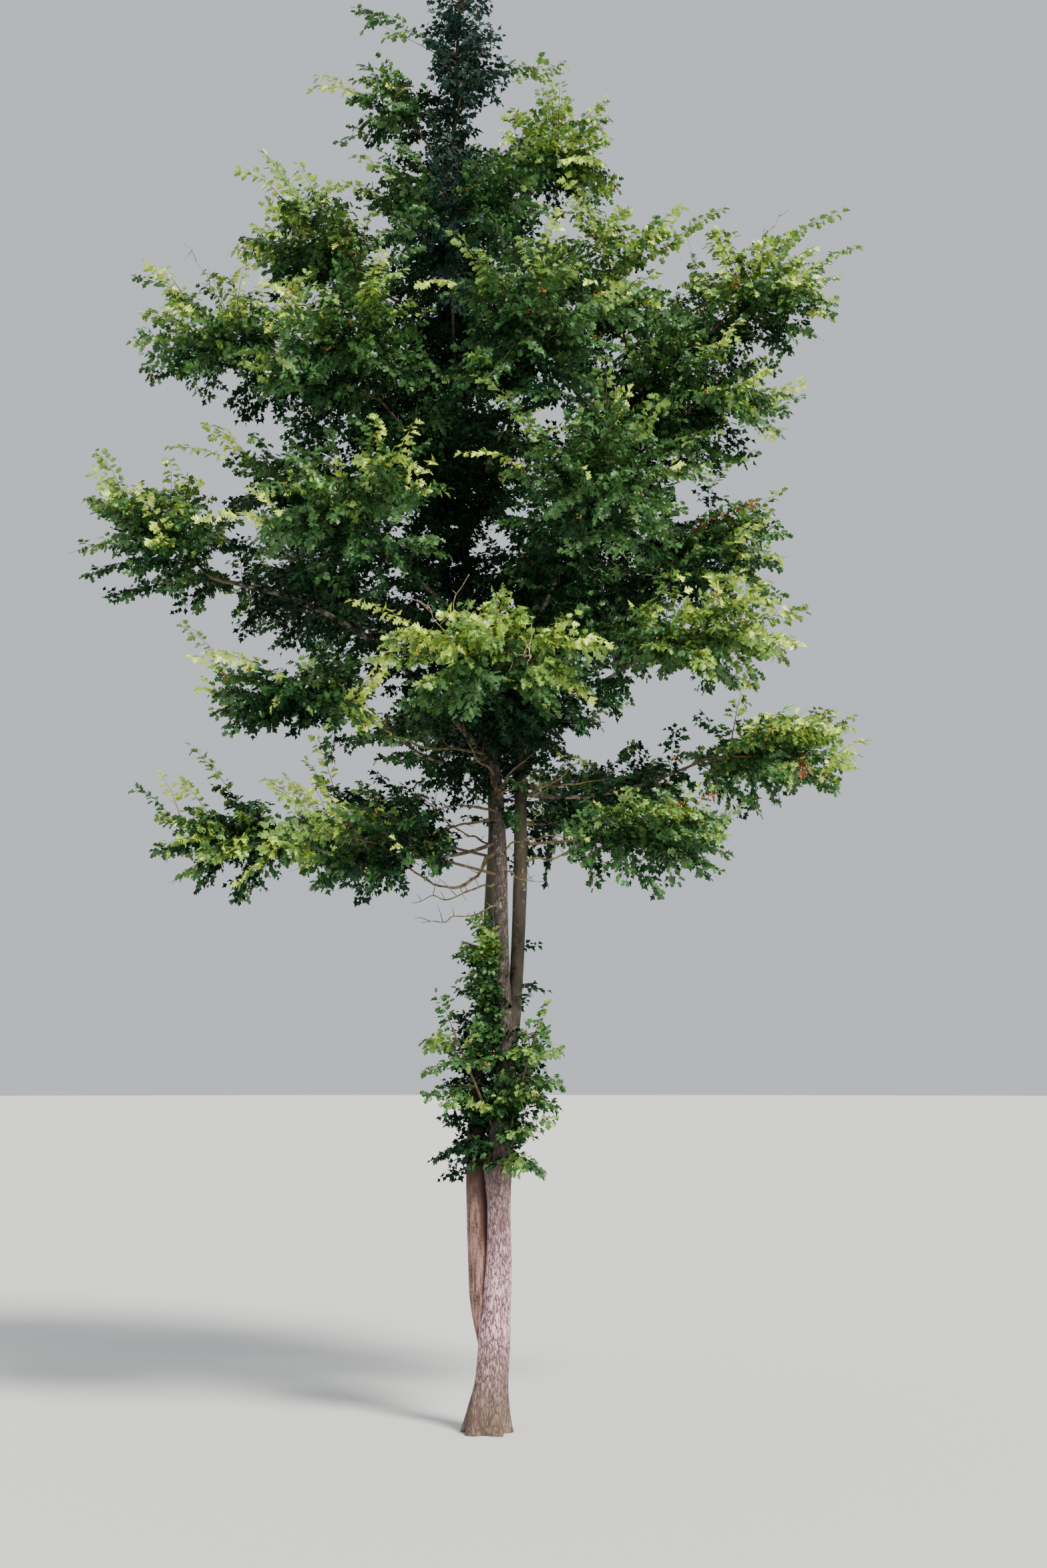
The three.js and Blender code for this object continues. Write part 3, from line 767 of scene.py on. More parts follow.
# %% [markdown]
# ## Bark of the trunk
# Old hawthorn bark cracks into small upright plates, pale on their faces and dark in the cracks.
# This trunk is darker and browner at its foot, partly a browner bark and partly painted shade of
# the plants round it, a pale pinkish grey up to the hip and darker above, with spots of lichen,
# and in the crown its bark is painted nearly black with the crown's shade. A picture of bark
# could be wrapped round it, but its seam would show. Noise that is stretched upwards has no seam
# and follows the trunk at any size.

# %% Plates and lichen
DRIFT_SCALE = 0.8
DRIFT = (2, 2, 2)
CRACK_WIDTH = 0.3


def plates(finish, across, upwards):
    """Small upright plates: 0 in the cracks to 1 on their faces, and a tone for each."""
    place = finish.stretched((across, across, upwards))
    drift_inputs = {"Vector": place, "Scale": DRIFT_SCALE, "Detail": 3}
    drift = finish.node("ShaderNodeTexNoise", inputs=drift_inputs, output="Color")
    settings = {"operation": "MULTIPLY_ADD"}
    warped = finish.node("ShaderNodeVectorMath", settings, {0: drift, 1: DRIFT, 2: place})
    inputs = {"Vector": warped, "Scale": 1.0}
    edge = finish.node("ShaderNodeTexVoronoi", {"feature": "DISTANCE_TO_EDGE"}, inputs, "Distance")
    tone = finish.node("ShaderNodeTexVoronoi", {"feature": "F1"}, inputs, "Color")
    return edge.ramp(0.0, CRACK_WIDTH), finish.node("ShaderNodeSeparateXYZ", inputs={0: tone})


def lichen(finish, scale, least, most):
    """Spots that start where the noise passes the least value and are full above the most."""
    field = finish.grain(finish.place(), scale=scale, detail=5, roughness=0.65)
    return field.ramp(least, most)


print("plates warp by a noise of scale", DRIFT_SCALE)

# %% Trunk bark
# Each bark from its darkest tone to its palest
# The foot: partly a browner bark and partly painted shade of the plants round it
FOOT_BARK_AND_SHADE = (colour(74, 62, 50), colour(146, 126, 108))
LOW_BARK = (colour(122, 88, 93), colour(248, 206, 212))
HIGH_BARK = (colour(60, 51, 46), colour(108, 93, 89))
# Painted shade of the crown: the trunk's bark inside the crown is nearly black
CROWN_SHADE_ON_BARK = colour(36, 33, 30)
LOW_CRACK = colour(98, 70, 72)
HIGH_CRACK = colour(56, 48, 43)
TRUNK_LICHEN = colour(150, 154, 136)
# Heights in metres over which one gives way to the next
FOOT_ENDS = (0.08, 0.5)
LOW_BARK_ENDS = (0.7, 1.25)
LOW_CRACK_ENDS = (0.95, 1.4)
LICHEN_STARTS = (1.3, 2.4)
CROWN_STARTS = (3.0, 4.4)

trunk_finish = Finish("trunk_bark", 0.9)
plate, plate_tone = plates(trunk_finish, 80, 24)
fibre = trunk_finish.grain(trunk_finish.stretched((170, 170, 26)), detail=5, roughness=0.65)
blotch = trunk_finish.grain(trunk_finish.stretched((14, 14, 5)), detail=4)
face_tone = (0.3 * plate + 0.25 * plate_tone + 1.1 * fibre + 0.6 * blotch).ramp(0.8, 1.5)
rise = trunk_finish.place_along("Z")
low_bark = trunk_finish.mix(face_tone, *LOW_BARK)
high_bark = trunk_finish.mix(face_tone, *HIGH_BARK)
foot_bark_and_shade = trunk_finish.mix(face_tone, *FOOT_BARK_AND_SHADE)
above_foot = trunk_finish.mix(rise.ramp(*FOOT_ENDS), foot_bark_and_shade, low_bark)
above_hip = trunk_finish.mix(rise.ramp(*LOW_BARK_ENDS), above_foot, high_bark)
# Above the crown's start the bark takes the crown's painted shade
all_faces = trunk_finish.mix(rise.ramp(*CROWN_STARTS), above_hip, CROWN_SHADE_ON_BARK)
cracks = trunk_finish.mix(rise.ramp(*LOW_CRACK_ENDS), LOW_CRACK, HIGH_CRACK)
raised = (0.45 * plate + fibre).ramp(0.46, 0.62)
cracked = trunk_finish.mix(raised, cracks, all_faces)
spots = lichen(trunk_finish, 34, 0.56, 0.66) * rise.ramp(*LICHEN_STARTS)
trunk_finish.feed("Base Color", trunk_finish.mix(0.8 * spots, cracked, TRUNK_LICHEN))
trunk_finish.bump(0.6 * plate + fibre, 0.6, 0.006)
print("the trunk's bark darkens between", LOW_BARK_ENDS[0], "and", LOW_BARK_ENDS[1], "m")

# %% [markdown]
# ## Bark of the two stems
# The left stem has lost its outer bark low down and shows reddish wood with long streaks and a
# dark strip on its side towards the trunk, partly a scar and partly the trunk's painted shadow.
# The right stem is younger, smooth and olive brown, with pale lichen. Both could share the
# trunk's bark, but three colours side by side are what tells the stems apart.

# %% Left stem bark
RED_WOOD = (colour(68, 45, 37), colour(172, 131, 122))
RED_ABOVE = colour(60, 42, 34)
RED_IN_CROWN = colour(64, 62, 48)
SCAR_AND_SHADOW = colour(78, 52, 44)
# Heights in metres over which the wood turns dark, the crown's tone starts and the scar with the
# trunk's painted shadow runs
RED_WOOD_ENDS = (0.9, 1.2)
RED_CROWN_STARTS = (1.5, 1.9)
SCAR_AND_SHADOW_STARTS = (0.78, 0.9)
SCAR_AND_SHADOW_ENDS = (1.25, 1.4)
# Across the stem in metres: the strip towards the trunk, partly scar and partly painted shadow
SCAR_AND_SHADOW_SIDE = (-0.042, -0.022)

left_finish = Finish("left_stem_bark", 0.85)
streak = left_finish.grain(left_finish.stretched((90, 90, 9)), detail=5, roughness=0.65)
patch = left_finish.grain(left_finish.stretched((12, 12, 3)), detail=2)
speck = left_finish.grain(left_finish.stretched((130, 130, 90)), detail=3)
red_wood = left_finish.mix((0.7 * streak + 0.3 * speck).ramp(0.35, 0.62), *RED_WOOD)
left_rise = left_finish.place_along("Z")
upper_red = left_finish.mix(left_rise.ramp(*RED_WOOD_ENDS), red_wood, RED_ABOVE)
crown_red = left_finish.mix(left_rise.ramp(*RED_CROWN_STARTS), upper_red, RED_IN_CROWN)
# The dark strip towards the trunk: partly scar and partly the trunk's painted shadow
scar_and_shadow_height = left_rise.ramp(*SCAR_AND_SHADOW_STARTS) * (1 - left_rise.ramp(*SCAR_AND_SHADOW_ENDS))
scar_and_shadow = left_finish.place_along("X").ramp(*SCAR_AND_SHADOW_SIDE) * scar_and_shadow_height + patch.ramp(0.6, 0.72)
left_finish.feed("Base Color", left_finish.mix(0.85 * scar_and_shadow, crown_red, SCAR_AND_SHADOW))
left_finish.bump(streak + 0.3 * speck, 0.45, 0.004)
print("the left stem's scar runs from", SCAR_AND_SHADOW_STARTS[0], "to", SCAR_AND_SHADOW_ENDS[1], "m")

# %% Right stem bark
OLIVE_BARK = (colour(42, 36, 26), colour(72, 63, 48))
OLIVE_LICHEN = colour(128, 130, 108)

right_finish = Finish("right_stem_bark", 0.78)
ripple = right_finish.grain(right_finish.stretched((30, 30, 12)), detail=4)
olive = right_finish.mix(ripple.ramp(0.3, 0.7), *OLIVE_BARK)
pale = lichen(right_finish, 26, 0.58, 0.7)
right_finish.feed("Base Color", right_finish.mix(0.7 * pale, olive, OLIVE_LICHEN))
right_finish.bump(ripple, 0.35, 0.003)
print("three finishes of bark so far")

# %% [markdown]
# ## Trunk and stems
# The trunk leans a little and flares into buttresses at the ground. It has knots where boughs
# broke off, and a shallow hollow at the height of the waist. They could be sculpted by hand, but
# a list of places with a size and a reach says in one line what each knot is.

# %% Trunk
TRUNK_SIDES = 60
TRUNK_RINGS = 270
# Above 1 the rings are closer near the ground, where the trunk is seen best
RING_CROWDING = 1.25
LEFT = math.pi

# Height, side as an angle, how far the knot stands out, or in when it is below 0, and its reach
TRUNK_KNOTS = (
    (480, LEFT, 12, 45), (905, -0.7, 5, 28), (1210, -1.9, 9, 40), (1290, -0.6, 7, 34),
    (1215, LEFT, 34, 150), (1215, 0, -13, 130), (400, LEFT, 10, 90), (1640, 0.1, 8, 60),
    (2560, LEFT, 4, 26), (2720, LEFT - 0.5, 5, 30), (3130, LEFT, 5, 30),
)
trunk_bark = Bark(3.2, 13, 55, 0.10, TRUNK_KNOTS)


def trunk_radius(share, angle, z):
    return station_radius(TRUNK_STATIONS, z) * flare(z, -angle)


shape = bmesh.new()
shares = np.linspace(0, 1, TRUNK_RINGS + 1) ** RING_CROWDING
roll_limb(shape, routes["trunk"], trunk_radius, TRUNK_SIDES, shares, trunk_bark, upright=True)
for vertex in shape.verts:
    vertex.co.z = max(vertex.co.z, 0)
piece_from(shape, "trunk_with_bark", trunk_finish, ["trunk"])

# %% Left stem
STEM_SIDES = 32
LEFT_STEM_RINGS = 220
LEFT_STEM_SWELL = 20
LEFT_STEM_SWELL_AT = 1030
LEFT_STEM_SWELL_REACH = 380

left_bark = Bark(1.4, 16, 160, 0.12, ((560, 0, 8, 60), (980, -1.2, 3, 30)))


def left_stem_radius(share, angle, z):
    """The left stem presses against the trunk where the two rise side by side."""
    inward = (1 + math.cos(angle)) / 2
    swell = LEFT_STEM_SWELL * inward * math.exp(-((z - LEFT_STEM_SWELL_AT) / LEFT_STEM_SWELL_REACH) ** 2)
    return station_radius(LEFT_STEM_STATIONS, z) + swell


shape = bmesh.new()
shares = np.linspace(0, 1, LEFT_STEM_RINGS + 1)
roll_limb(shape, routes["left_stem"], left_stem_radius, STEM_SIDES, shares, left_bark)
piece_from(shape, "left_stem_with_bark", left_finish, ["left_stem"])

# %% Right stem
RIGHT_STEM_RINGS = 180

right_bark = Bark(0.9, 14, 60, 0.10, ((2690, 0, 4, 28), (2930, 0.3, 4, 28), (3340, 0, 4, 26)))


def right_stem_radius(share, angle, z):
    return station_radius(RIGHT_STEM_STATIONS, z)


shape = bmesh.new()
shares = np.linspace(0, 1, RIGHT_STEM_RINGS + 1)
roll_limb(shape, routes["right_stem"], right_stem_radius, STEM_SIDES, shares, right_bark)
piece_from(shape, "right_stem_with_bark", right_finish, ["right_stem"])

# %% [markdown]
# ## Boughs
# The boughs are thin, dark and crusted with pale lichen. Each could be a piece of its own, but
# they share one bark and never move, so one bmesh takes them all. They have fewer sides than the
# trunk, because the leaves hide most of them.

# %% Bough bark
DARK_BARK = (colour(58, 49, 42), colour(96, 84, 70))
BOUGH_LICHEN = colour(150, 150, 126)

bough_finish = Finish("bough_bark", 0.88)
rough = bough_finish.grain(bough_finish.stretched((40, 40, 40)), detail=4)
dark = bough_finish.mix(rough.ramp(0.3, 0.7), *DARK_BARK)
crust = lichen(bough_finish, 30, 0.5, 0.62)
bough_finish.feed("Base Color", bough_finish.mix(crust * 0.85, dark, BOUGH_LICHEN))
bough_finish.bump(rough + crust, 0.5, 0.003)
print("the boughs' bark is the fourth")

# %% Boughs
BOUGH_SIDES = 12
BOUGH_RING_EVERY = 14

bough_bark = Bark(0.7, 7, 24, 0.16)
shape = bmesh.new()
for space in spaces:
    if space.bough:
        route = routes["bough_" + space.name]
        shares = np.linspace(0, 1, int(route.length / BOUGH_RING_EVERY) + 1)
        roll_limb(shape, route, lambda share, angle, z: bough_radius(space, share),
                  BOUGH_SIDES, shares, bough_bark)
bough_nodes = ["bough_" + space.name for space in spaces if space.bough]
piece_from(shape, "boughs_with_bark", bough_finish, bough_nodes)

# %% [markdown]
# ## Twigs by the source's rule
# The source gives each mass a stem, twigs round it by the golden angle and a blade for every
# spray. New twigs could be drawn freely, but then they would leave the outline of the solids. So
# the same draws are made in the same order, and each blade is kept as a root, a way and a length.

# %% Ways that twigs take
NEARLY_ALONG = 0.95
LAYER_FLATNESS = 0.5
LEAN = 1.1


def turned(vector, axis, degrees):
    angle = math.radians(degrees)
    along = axis * (axis @ vector) * (1 - math.cos(angle))
    return vector * math.cos(angle) + np.cross(axis, vector) * math.sin(angle) + along


def out_from(ahead, around, spread):
    """A direction that stands out from another, turned round it and flattened into a layer."""
    upright = abs(ahead[2]) > NEARLY_ALONG
    side = SIDEWAYS if upright else unit(np.cross(ahead, UP))
    over = np.cross(side, ahead)
    flatness = LAYER_FLATNESS + (1 - LAYER_FLATNESS) * abs(ahead[2])
    out = side * math.cos(around) + over * flatness * math.sin(around)
    return unit(ahead * math.cos(spread) + out * math.sin(spread))


def hanging(direction, droop):
    return unit(direction - UP * droop)


def faced(random):
    """The side that a spray faces: upwards, with a lean."""
    return unit(np.array((LEAN * (2 * random() - 1), LEAN * (2 * random() - 1), 1)))


def place_on(route, share):
    """A point on a mass's stem, which the source builds from straight pieces."""
    centres = route.at(np.arange(STEM_STEPS + 1) / STEM_STEPS)
    scaled = share * STEM_STEPS
    i = min(int(scaled), STEM_STEPS - 1)
    return centres[i] + (centres[i + 1] - centres[i]) * (scaled - i)


print("a flat layer keeps", LAYER_FLATNESS, "of its height")

# %% Twigs and sprays of the source
FOLIAGE_SEED = 100
TWIGS_PER_MASS = 5
GOLDEN_ANGLE = math.pi * (3 - math.sqrt(5))
TWIG_ROOM = 1000
SHORTEST_TWIG = 20
ROOM_FOR_LEAF = 0.9
LONGEST_LEAF = 1.25
# A least value, and how much a draw may add to it
TWIG_SPREAD = (50, 22)
LEAF_TURN = (52, 16)
LEAF_DROOP = (0.25, 0.5)
LONG_TWIG = 0.65
PLACES_ON_LONG_TWIG = (0.4, 0.75)
PLACES_ON_SHORT_TWIG = (0.6,)
FIRST_TWIG_ON_TIP = 0.12
FIRST_TWIG_ON_SIDE = 0.4
STEM_LEAF_PLACE = 0.7
TIP_DROOP = 0.1


def source_growth(index):
    """The twigs and the sprays that the source gives a mass."""
    random = seeded(FOLIAGE_SEED + index)
    space = spaces[index]
    usual = space.leaf_length
    twigs, sprays = [], []

    def varied(least_and_more):
        return least_and_more[0] + least_and_more[1] * random()

    def spray(root, direction):
        face = faced(random)
        length = free_length(index, root, direction, LONGEST_LEAF * usual)
        sprays.append((root, direction, length, face))

    first = FIRST_TWIG_ON_TIP if space.on_tip else FIRST_TWIG_ON_SIDE
    around = 2 * math.pi * random()
    for k in range(TWIGS_PER_MASS):
        share = first + (1 - first) * k / TWIGS_PER_MASS
        spread = math.radians(varied(TWIG_SPREAD))
        droop = varied(LEAF_DROOP)
        start = place_on(space.stem, share)
        direction = out_from(space.stem.heading(share), around + k * GOLDEN_ANGLE, spread)
        length = free_length(index, start, direction, TWIG_ROOM) - ROOM_FOR_LEAF * usual
        if length < SHORTEST_TWIG:
            spray(start, hanging(direction, droop))
            continue
        twigs.append((start, direction, length))
        spray(start + direction * length, hanging(direction, droop))
        places = PLACES_ON_LONG_TWIG if length > LONG_TWIG * usual else PLACES_ON_SHORT_TWIG
        for n, place in enumerate(places):
            outward = turned(direction, UP, (-1 if n % 2 else 1) * varied(LEAF_TURN))
            spray(start + direction * length * place, hanging(outward, droop))
    spray(place_on(space.stem, 1), hanging(space.stem.heading(1), TIP_DROOP))
    aside = turned(space.stem.heading(STEM_LEAF_PLACE), UP, varied(LEAF_TURN))
    spray(place_on(space.stem, STEM_LEAF_PLACE), hanging(aside, LEAF_DROOP[0]))
    return twigs, sprays


source_growths = [source_growth(index) for index in range(len(spaces))]
print(sum(len(twigs) for twigs, _ in source_growths), "twigs and",
      sum(len(sprays) for _, sprays in source_growths), "sprays")

# %% [markdown]
# ## Finer twigs
# The solids stop at a few blades a mass. A real mass has many more twigs, so each stem here gets
# more of them by the same golden angle, every twig gets shoots on alternate sides, and every
# shoot gets side shoots that are longest at two fifths of the way, which keeps the outline of the
# blade that stood for it. A particle system could scatter them, but the export drops particles.

# %% A shoot
class Shoot:
    """A twig of any order: where it runs, how thick it is and the side that its spray faces.

    A shade above 0 darkens its leaves, as if more of the crown lay over it, and one below 0
    brightens them.
    """

    def __init__(self, index, start, direction, length, radii, face, arch=0.0, leafy=True, shade=0):
        self.index = index
        self.start = start
        self.direction = direction
        self.length = length
        self.radii = radii
        self.face = face
        self.arch = arch
        self.leafy = leafy
        self.shade = shade

    def at(self, share):
        """Points along the shoot, which bows up midway."""
        share = np.atleast_1d(np.asarray(share, float))
        lift = self.arch * self.length * 4 * share * (1 - share)
        return self.start + share[:, None] * self.length * self.direction + lift[:, None] * UP


print("a shoot is a root, a way, a length and a bow")

# %% Room for a shoot
NO_SPACE = -1
CROWN_ROOM = 0.015

crown_low, crown_high = np.array(solid_box) / MM
crown_room = CROWN_ROOM * (crown_high - crown_low)


def in_crown(points):
    """Whether points keep within the reach of the solids, but for a little."""
    return np.all((points > crown_low - crown_room) & (points < crown_high + crown_room), axis=-1)


def room_for(index, start, direction, longest, reach=1.0):
    """How far a shoot can run inside its space, measured in short steps."""
    steps = np.arange(MARCH, longest + MARCH, MARCH)
    points = start + np.outer(steps, direction)
    held = in_crown(points)
    if index != NO_SPACE:
        held &= spaces[index].holds(points, reach)
    return min(longest, MARCH * int(len(steps) if held.all() else np.argmin(held)))


print("shoots may pass the solids by", np.round(crown_room * MM, 3), "m")

# %% A spray
SHOOT_RADIUS = 2.2
SIDE_SHOOT_RADIUS = 1.3
SHOOT_TIP = 0.7
SHORTEST_SHOOT = 45
SHOOT_BOW = (0.01, 0.07)
SIDE_SHOOT_EVERY = 46
SIDE_SHOOT_TURN = (38, 62)
SIDE_SHOOT_LIFT = 0.16
SIDE_SHOOT_TILT = 0.35
SIDE_SHOOT_BOW = 0.03
SIDE_SHOOT_VARIES = (0.7, 1.25)
# Where a spray is widest, how wide it is there, and how much of that its two ends keep
SPRAY_WIDEST = 0.4
SPRAY_WIDTH = 0.3
SPRAY_END = 0.35
NO_FACE = 0.05


def side_of(direction, face):
    across = np.cross(face, direction)
    return unit(across) if np.linalg.norm(across) > NO_FACE else unit(np.cross(direction, SIDEWAYS))


def turned_out(across, number, degrees, direction):
    """A way that turns out from a twig, to one side and the other by turns."""
    turn = math.radians(degrees)
    side = across if number % 2 else -across
    return math.cos(turn) * direction + math.sin(turn) * side


def branch_spray(found, index, root, direction, length, face, chance, shade=0):
    """A shoot with side shoots, in the outline of a pointed blade."""
    if length < SHORTEST_SHOOT:
        return
    bow = chance.uniform(*SHOOT_BOW)
    main = Shoot(index, root, direction, length, (SHOOT_RADIUS, SHOOT_TIP), face, bow, shade=shade)
    found.append(main)
    across = side_of(direction, face)
    count = int(length / SIDE_SHOOT_EVERY)
    for n in range(count):
        share = (n + 0.6) / (count + 0.4)
        spread = share / SPRAY_WIDEST if share < SPRAY_WIDEST else (1 - share) / (1 - SPRAY_WIDEST)
        width = SPRAY_END + (1 - SPRAY_END) * spread
        reach = width * SPRAY_WIDTH * length * chance.uniform(*SIDE_SHOOT_VARIES)
        out = turned_out(across, n, chance.uniform(*SIDE_SHOOT_TURN), direction)
        way = unit(out + UP * chance.normal(0, SIDE_SHOOT_LIFT))
        start = main.at(share)[0]
        reach = min(reach, room_for(index, start, way, reach))
        if reach >= 0.5 * SHORTEST_SHOOT:
            tilt = unit(face + SIDE_SHOOT_TILT * chance.normal(size=3))
            radii = (SIDE_SHOOT_RADIUS, SHOOT_TIP)
            found.append(Shoot(index, start, way, reach, radii, tilt, SIDE_SHOOT_BOW, shade=shade))


print("a spray is widest at", SPRAY_WIDEST, "of its length")

# %% A twig with its sprays
TWIG_TIP = 4
TWIG_RADII = (0.6 * TWIG_BASE, 0.5 * TWIG_TIP)
TWIG_BOW = 0.02
SHOOT_EVERY = 75
SHOOT_TURN = (42, 70)
SHOOT_LIFT = (-0.5, 0.35)
SHOOT_LEAST = 150
SHOOT_MORE = 150
SHOOT_TILT = 0.45
# How far shoots may reach, as a share of their space's half sizes
OUTER_REACH = (0.8, 1.06)


def branch_twig(found, index, start, direction, length, chance):
    """A twig with shoots on alternate sides."""
    twig = Shoot(index, start, direction, length, TWIG_RADII, UP, TWIG_BOW, leafy=False)
    found.append(twig)
    count = int(length / SHOOT_EVERY)
    across = side_of(direction, UP)
    for n in range(count):
        out = turned_out(across, n, chance.uniform(*SHOOT_TURN), direction)
        way = unit(out + UP * chance.uniform(*SHOOT_LIFT))
        root = twig.at((n + 0.7) / (count + 0.4))[0]
        wanted = SHOOT_LEAST + SHOOT_MORE * chance.random()
        wanted = min(wanted, room_for(index, root, way, wanted, chance.uniform(*OUTER_REACH)))
        face = unit(UP + SHOOT_TILT * chance.normal(size=3))
        branch_spray(found, index, root, way, wanted, face, chance)


print("a shoot every", SHOOT_EVERY, "mm of a twig")

# %% [markdown]
# ## Long shoots
# Each summer a hawthorn sends out long shoots with large leaves, which stand out of its masses
# and give the crown its ragged edge. They could be drawn by hand one by one, but most masses
# need several. So a rule sends some from the outer side of a mass, and they may leave its space.

# %% Long shoots
LONG_SHOOTS = 6
FEWER_LONG_SHOOTS = 2
FEW_LONG_SHOOTS = ("front_upper", "back_crest", "front_shelf")
NO_LONG_SHOOTS = ("spire_side", "spire_top", "tuft_left", "tuft_right")
LONG_SHOOT_FROM = 0.45
LONG_SHOOT_LOWEST = -0.3
LONG_SHOOT_LENGTH = (170, 360)
LONG_SHOOT_FLATNESS = 0.6
LONG_SHOOT_LIFT = (0.0, 0.55)
LONG_SHOOT_SCATTER = 0.25
LONG_SHOOT_TILT = 0.4
LONG_SHOOT_BOW = (0.06, 0.13)
ALWAYS_SUNLIT = -1000
SHOOT_MIDDLE = 0.6


def outer_tips(space, tips):
    """Which shoots of a mass lie in its outer part, away from the trunk and not too low."""
    offset = tips - space.centre
    away = unit(space.centre * (1, 1, 0)) @ offset.T
    high = offset[:, 2] > LONG_SHOOT_LOWEST * space.half[2]
    far = away > LONG_SHOOT_LOWEST * space.half[0]
    return np.flatnonzero((space.radial(tips) > LONG_SHOOT_FROM) & high & far)


def long_shoots(found, space, chance):
    """This summer's long shoots, which stand out of the mass at its top and sides."""
    if space.name in NO_LONG_SHOOTS:
        return []
    tips = np.array([shoot.at(SHOOT_MIDDLE)[0] for shoot in found])
    outer = outer_tips(space, tips)
    usual = FEWER_LONG_SHOOTS if space.name in FEW_LONG_SHOOTS else LONG_SHOOTS
    count = min(len(outer), round(usual * space.leaf_length / LEAF_LENGTH))
    long = []
    for number in chance.choice(outer, count, replace=False):
        start = tips[number]
        out = unit((start - space.centre) * (1, 1, LONG_SHOOT_FLATNESS))
        lifted = out + UP * chance.uniform(*LONG_SHOOT_LIFT)
        way = unit(lifted + LONG_SHOOT_SCATTER * chance.normal(size=3))
        length = room_for(NO_SPACE, start, way, chance.uniform(*LONG_SHOOT_LENGTH))
        if length < 2 * SHORTEST_SHOOT:
            continue
        face = unit(UP + LONG_SHOOT_TILT * chance.normal(size=3))
        bow = chance.uniform(*LONG_SHOOT_BOW)
        radii = (SHOOT_RADIUS, SHOOT_TIP)
        long.append(Shoot(NO_SPACE, start, way, length, radii, face, bow, shade=ALWAYS_SUNLIT))
    return long


print("up to", LONG_SHOOTS, "long shoots a mass")

# %% Every mass grows
MORE_TWIGS = 13
FEWEST_MORE_TWIGS = 3
MORE_TWIG_SPREAD = (30, 100)
MORE_TWIG_SHOOT = 0.7
MORE_TWIG_DROOP = 0.2
MORE_TWIG_TILT = 0.4
# Nothing of the spray in front of the trunk rises above this, because bare wood shows over it
FLAT_TOPS = {"front_shelf": 3650}


def finer_growth(index):
    """The source's twigs and sprays of a mass with their shoots, then more twigs between them."""
    space = spaces[index]
    chance = np.random.default_rng(index)
    found = []
    twigs, sprays = source_growths[index]
    for start, direction, length in twigs:
        branch_twig(found, index, start, direction, length, chance)
    for root, direction, length, face in sprays:
        branch_spray(found, index, root, direction, length, face, chance)
    first = FIRST_TWIG_ON_TIP if space.on_tip else FIRST_TWIG_ON_SIDE
    more = max(FEWEST_MORE_TWIGS, round(MORE_TWIGS * space.leaf_length / LEAF_LENGTH))
    for k in range(more):
        share = first + (1 - first) * (k + 0.5) / more
        start = place_on(space.stem, share)
        spread = math.radians(chance.uniform(*MORE_TWIG_SPREAD))
        around = chance.random() * 2 * math.pi + k * GOLDEN_ANGLE
        direction = out_from(space.stem.heading(share), around, spread)
        length = room_for(index, start, direction, TWIG_ROOM, chance.uniform(*OUTER_REACH))
        if length < SHORTEST_SHOOT:
            continue
        shoot = min(length, SHOOT_LEAST + SHOOT_MORE * chance.random())
        bare = length - MORE_TWIG_SHOOT * shoot
        branch_twig(found, index, start, direction, bare, chance)
        face = unit(UP + MORE_TWIG_TILT * chance.normal(size=3))
        way = hanging(direction, MORE_TWIG_DROOP)
        branch_spray(found, index, start + direction * bare, way, shoot, face, chance)
    found += long_shoots(found, space, chance)
    highest = FLAT_TOPS.get(space.name, TREE_HEIGHT)
    return [shoot for shoot in found if shoot.at(1)[0, 2] < highest]


shoots = [shoot for index in range(len(spaces)) for shoot in finer_growth(index)]
print(len(shoots), "shoots, of them", sum(shoot.leafy for shoot in shoots), "with leaves")
print(sum(shoot.shade == ALWAYS_SUNLIT for shoot in shoots), "of them are long shoots")

# %% [markdown]
# ## Shoots straight from the limbs
# A hawthorn also sprouts from its trunk and boughs, so the inside of the crown is full of leaves,
# painted dark with shade, and the leader is hidden by them. They could be one more mass, but a
# space has to stay clear of limbs, and these shoots sit on them. They point outwards, up or down,
# and stay short.

# %% Shoots from the trunk and stems
LIMB_SEED = 5
LIMB_SHOOT_LIFT = (-0.9, 0.8)
LIMB_SHOOT_AHEAD = 0.3
LIMB_SHOOT_TILT = 0.5
LIMB_ROOT_SCATTER = 0.4
LIMB_TURN_SCATTER = 0.5
# The side that shoots grow from, as the angle of its middle and its share of the full round
ALL_ROUND = (0, 1)
LEFT_SIDE = (2.85, 0.24)
# Limb, lowest and highest root, gap between roots, shortest and longest shoot, shade, side
LIMB_SHOOTS = (
    ("trunk", 1230, 1480, 4, 90, 280, -34, ALL_ROUND),
    ("trunk", 1480, 1760, 7, 70, 220, -28, ALL_ROUND),
    ("trunk", 1760, 2240, 9, 90, 190, -16, LEFT_SIDE),
    ("trunk", 2780, 3120, 40, 120, 380, -4, ALL_ROUND),
    ("trunk", 3120, 3400, 20, 150, 420, -4, ALL_ROUND),
    ("trunk", 3400, 4200, 20, 150, 420, 60, ALL_ROUND),
    ("trunk", 4200, 5500, 15, 170, 400, 60, ALL_ROUND),
    ("trunk", 5500, 6960, 9, 70, 170, 400, ALL_ROUND),
    ("left_stem", 1190, 1500, 9, 70, 220, -20, ALL_ROUND),
    ("left_stem", 1500, 2200, 24, 60, 160, -10, LEFT_SIDE),
    ("left_stem", 3150, 4600, 30, 130, 330, 60, ALL_ROUND),
    ("right_stem", 1650, 2200, 45, 60, 150, 40, ALL_ROUND),
    ("right_stem", 2850, 3250, 55, 120, 360, 0, ALL_ROUND),
    ("right_stem", 3250, 5300, 20, 130, 370, 60, ALL_ROUND),
)


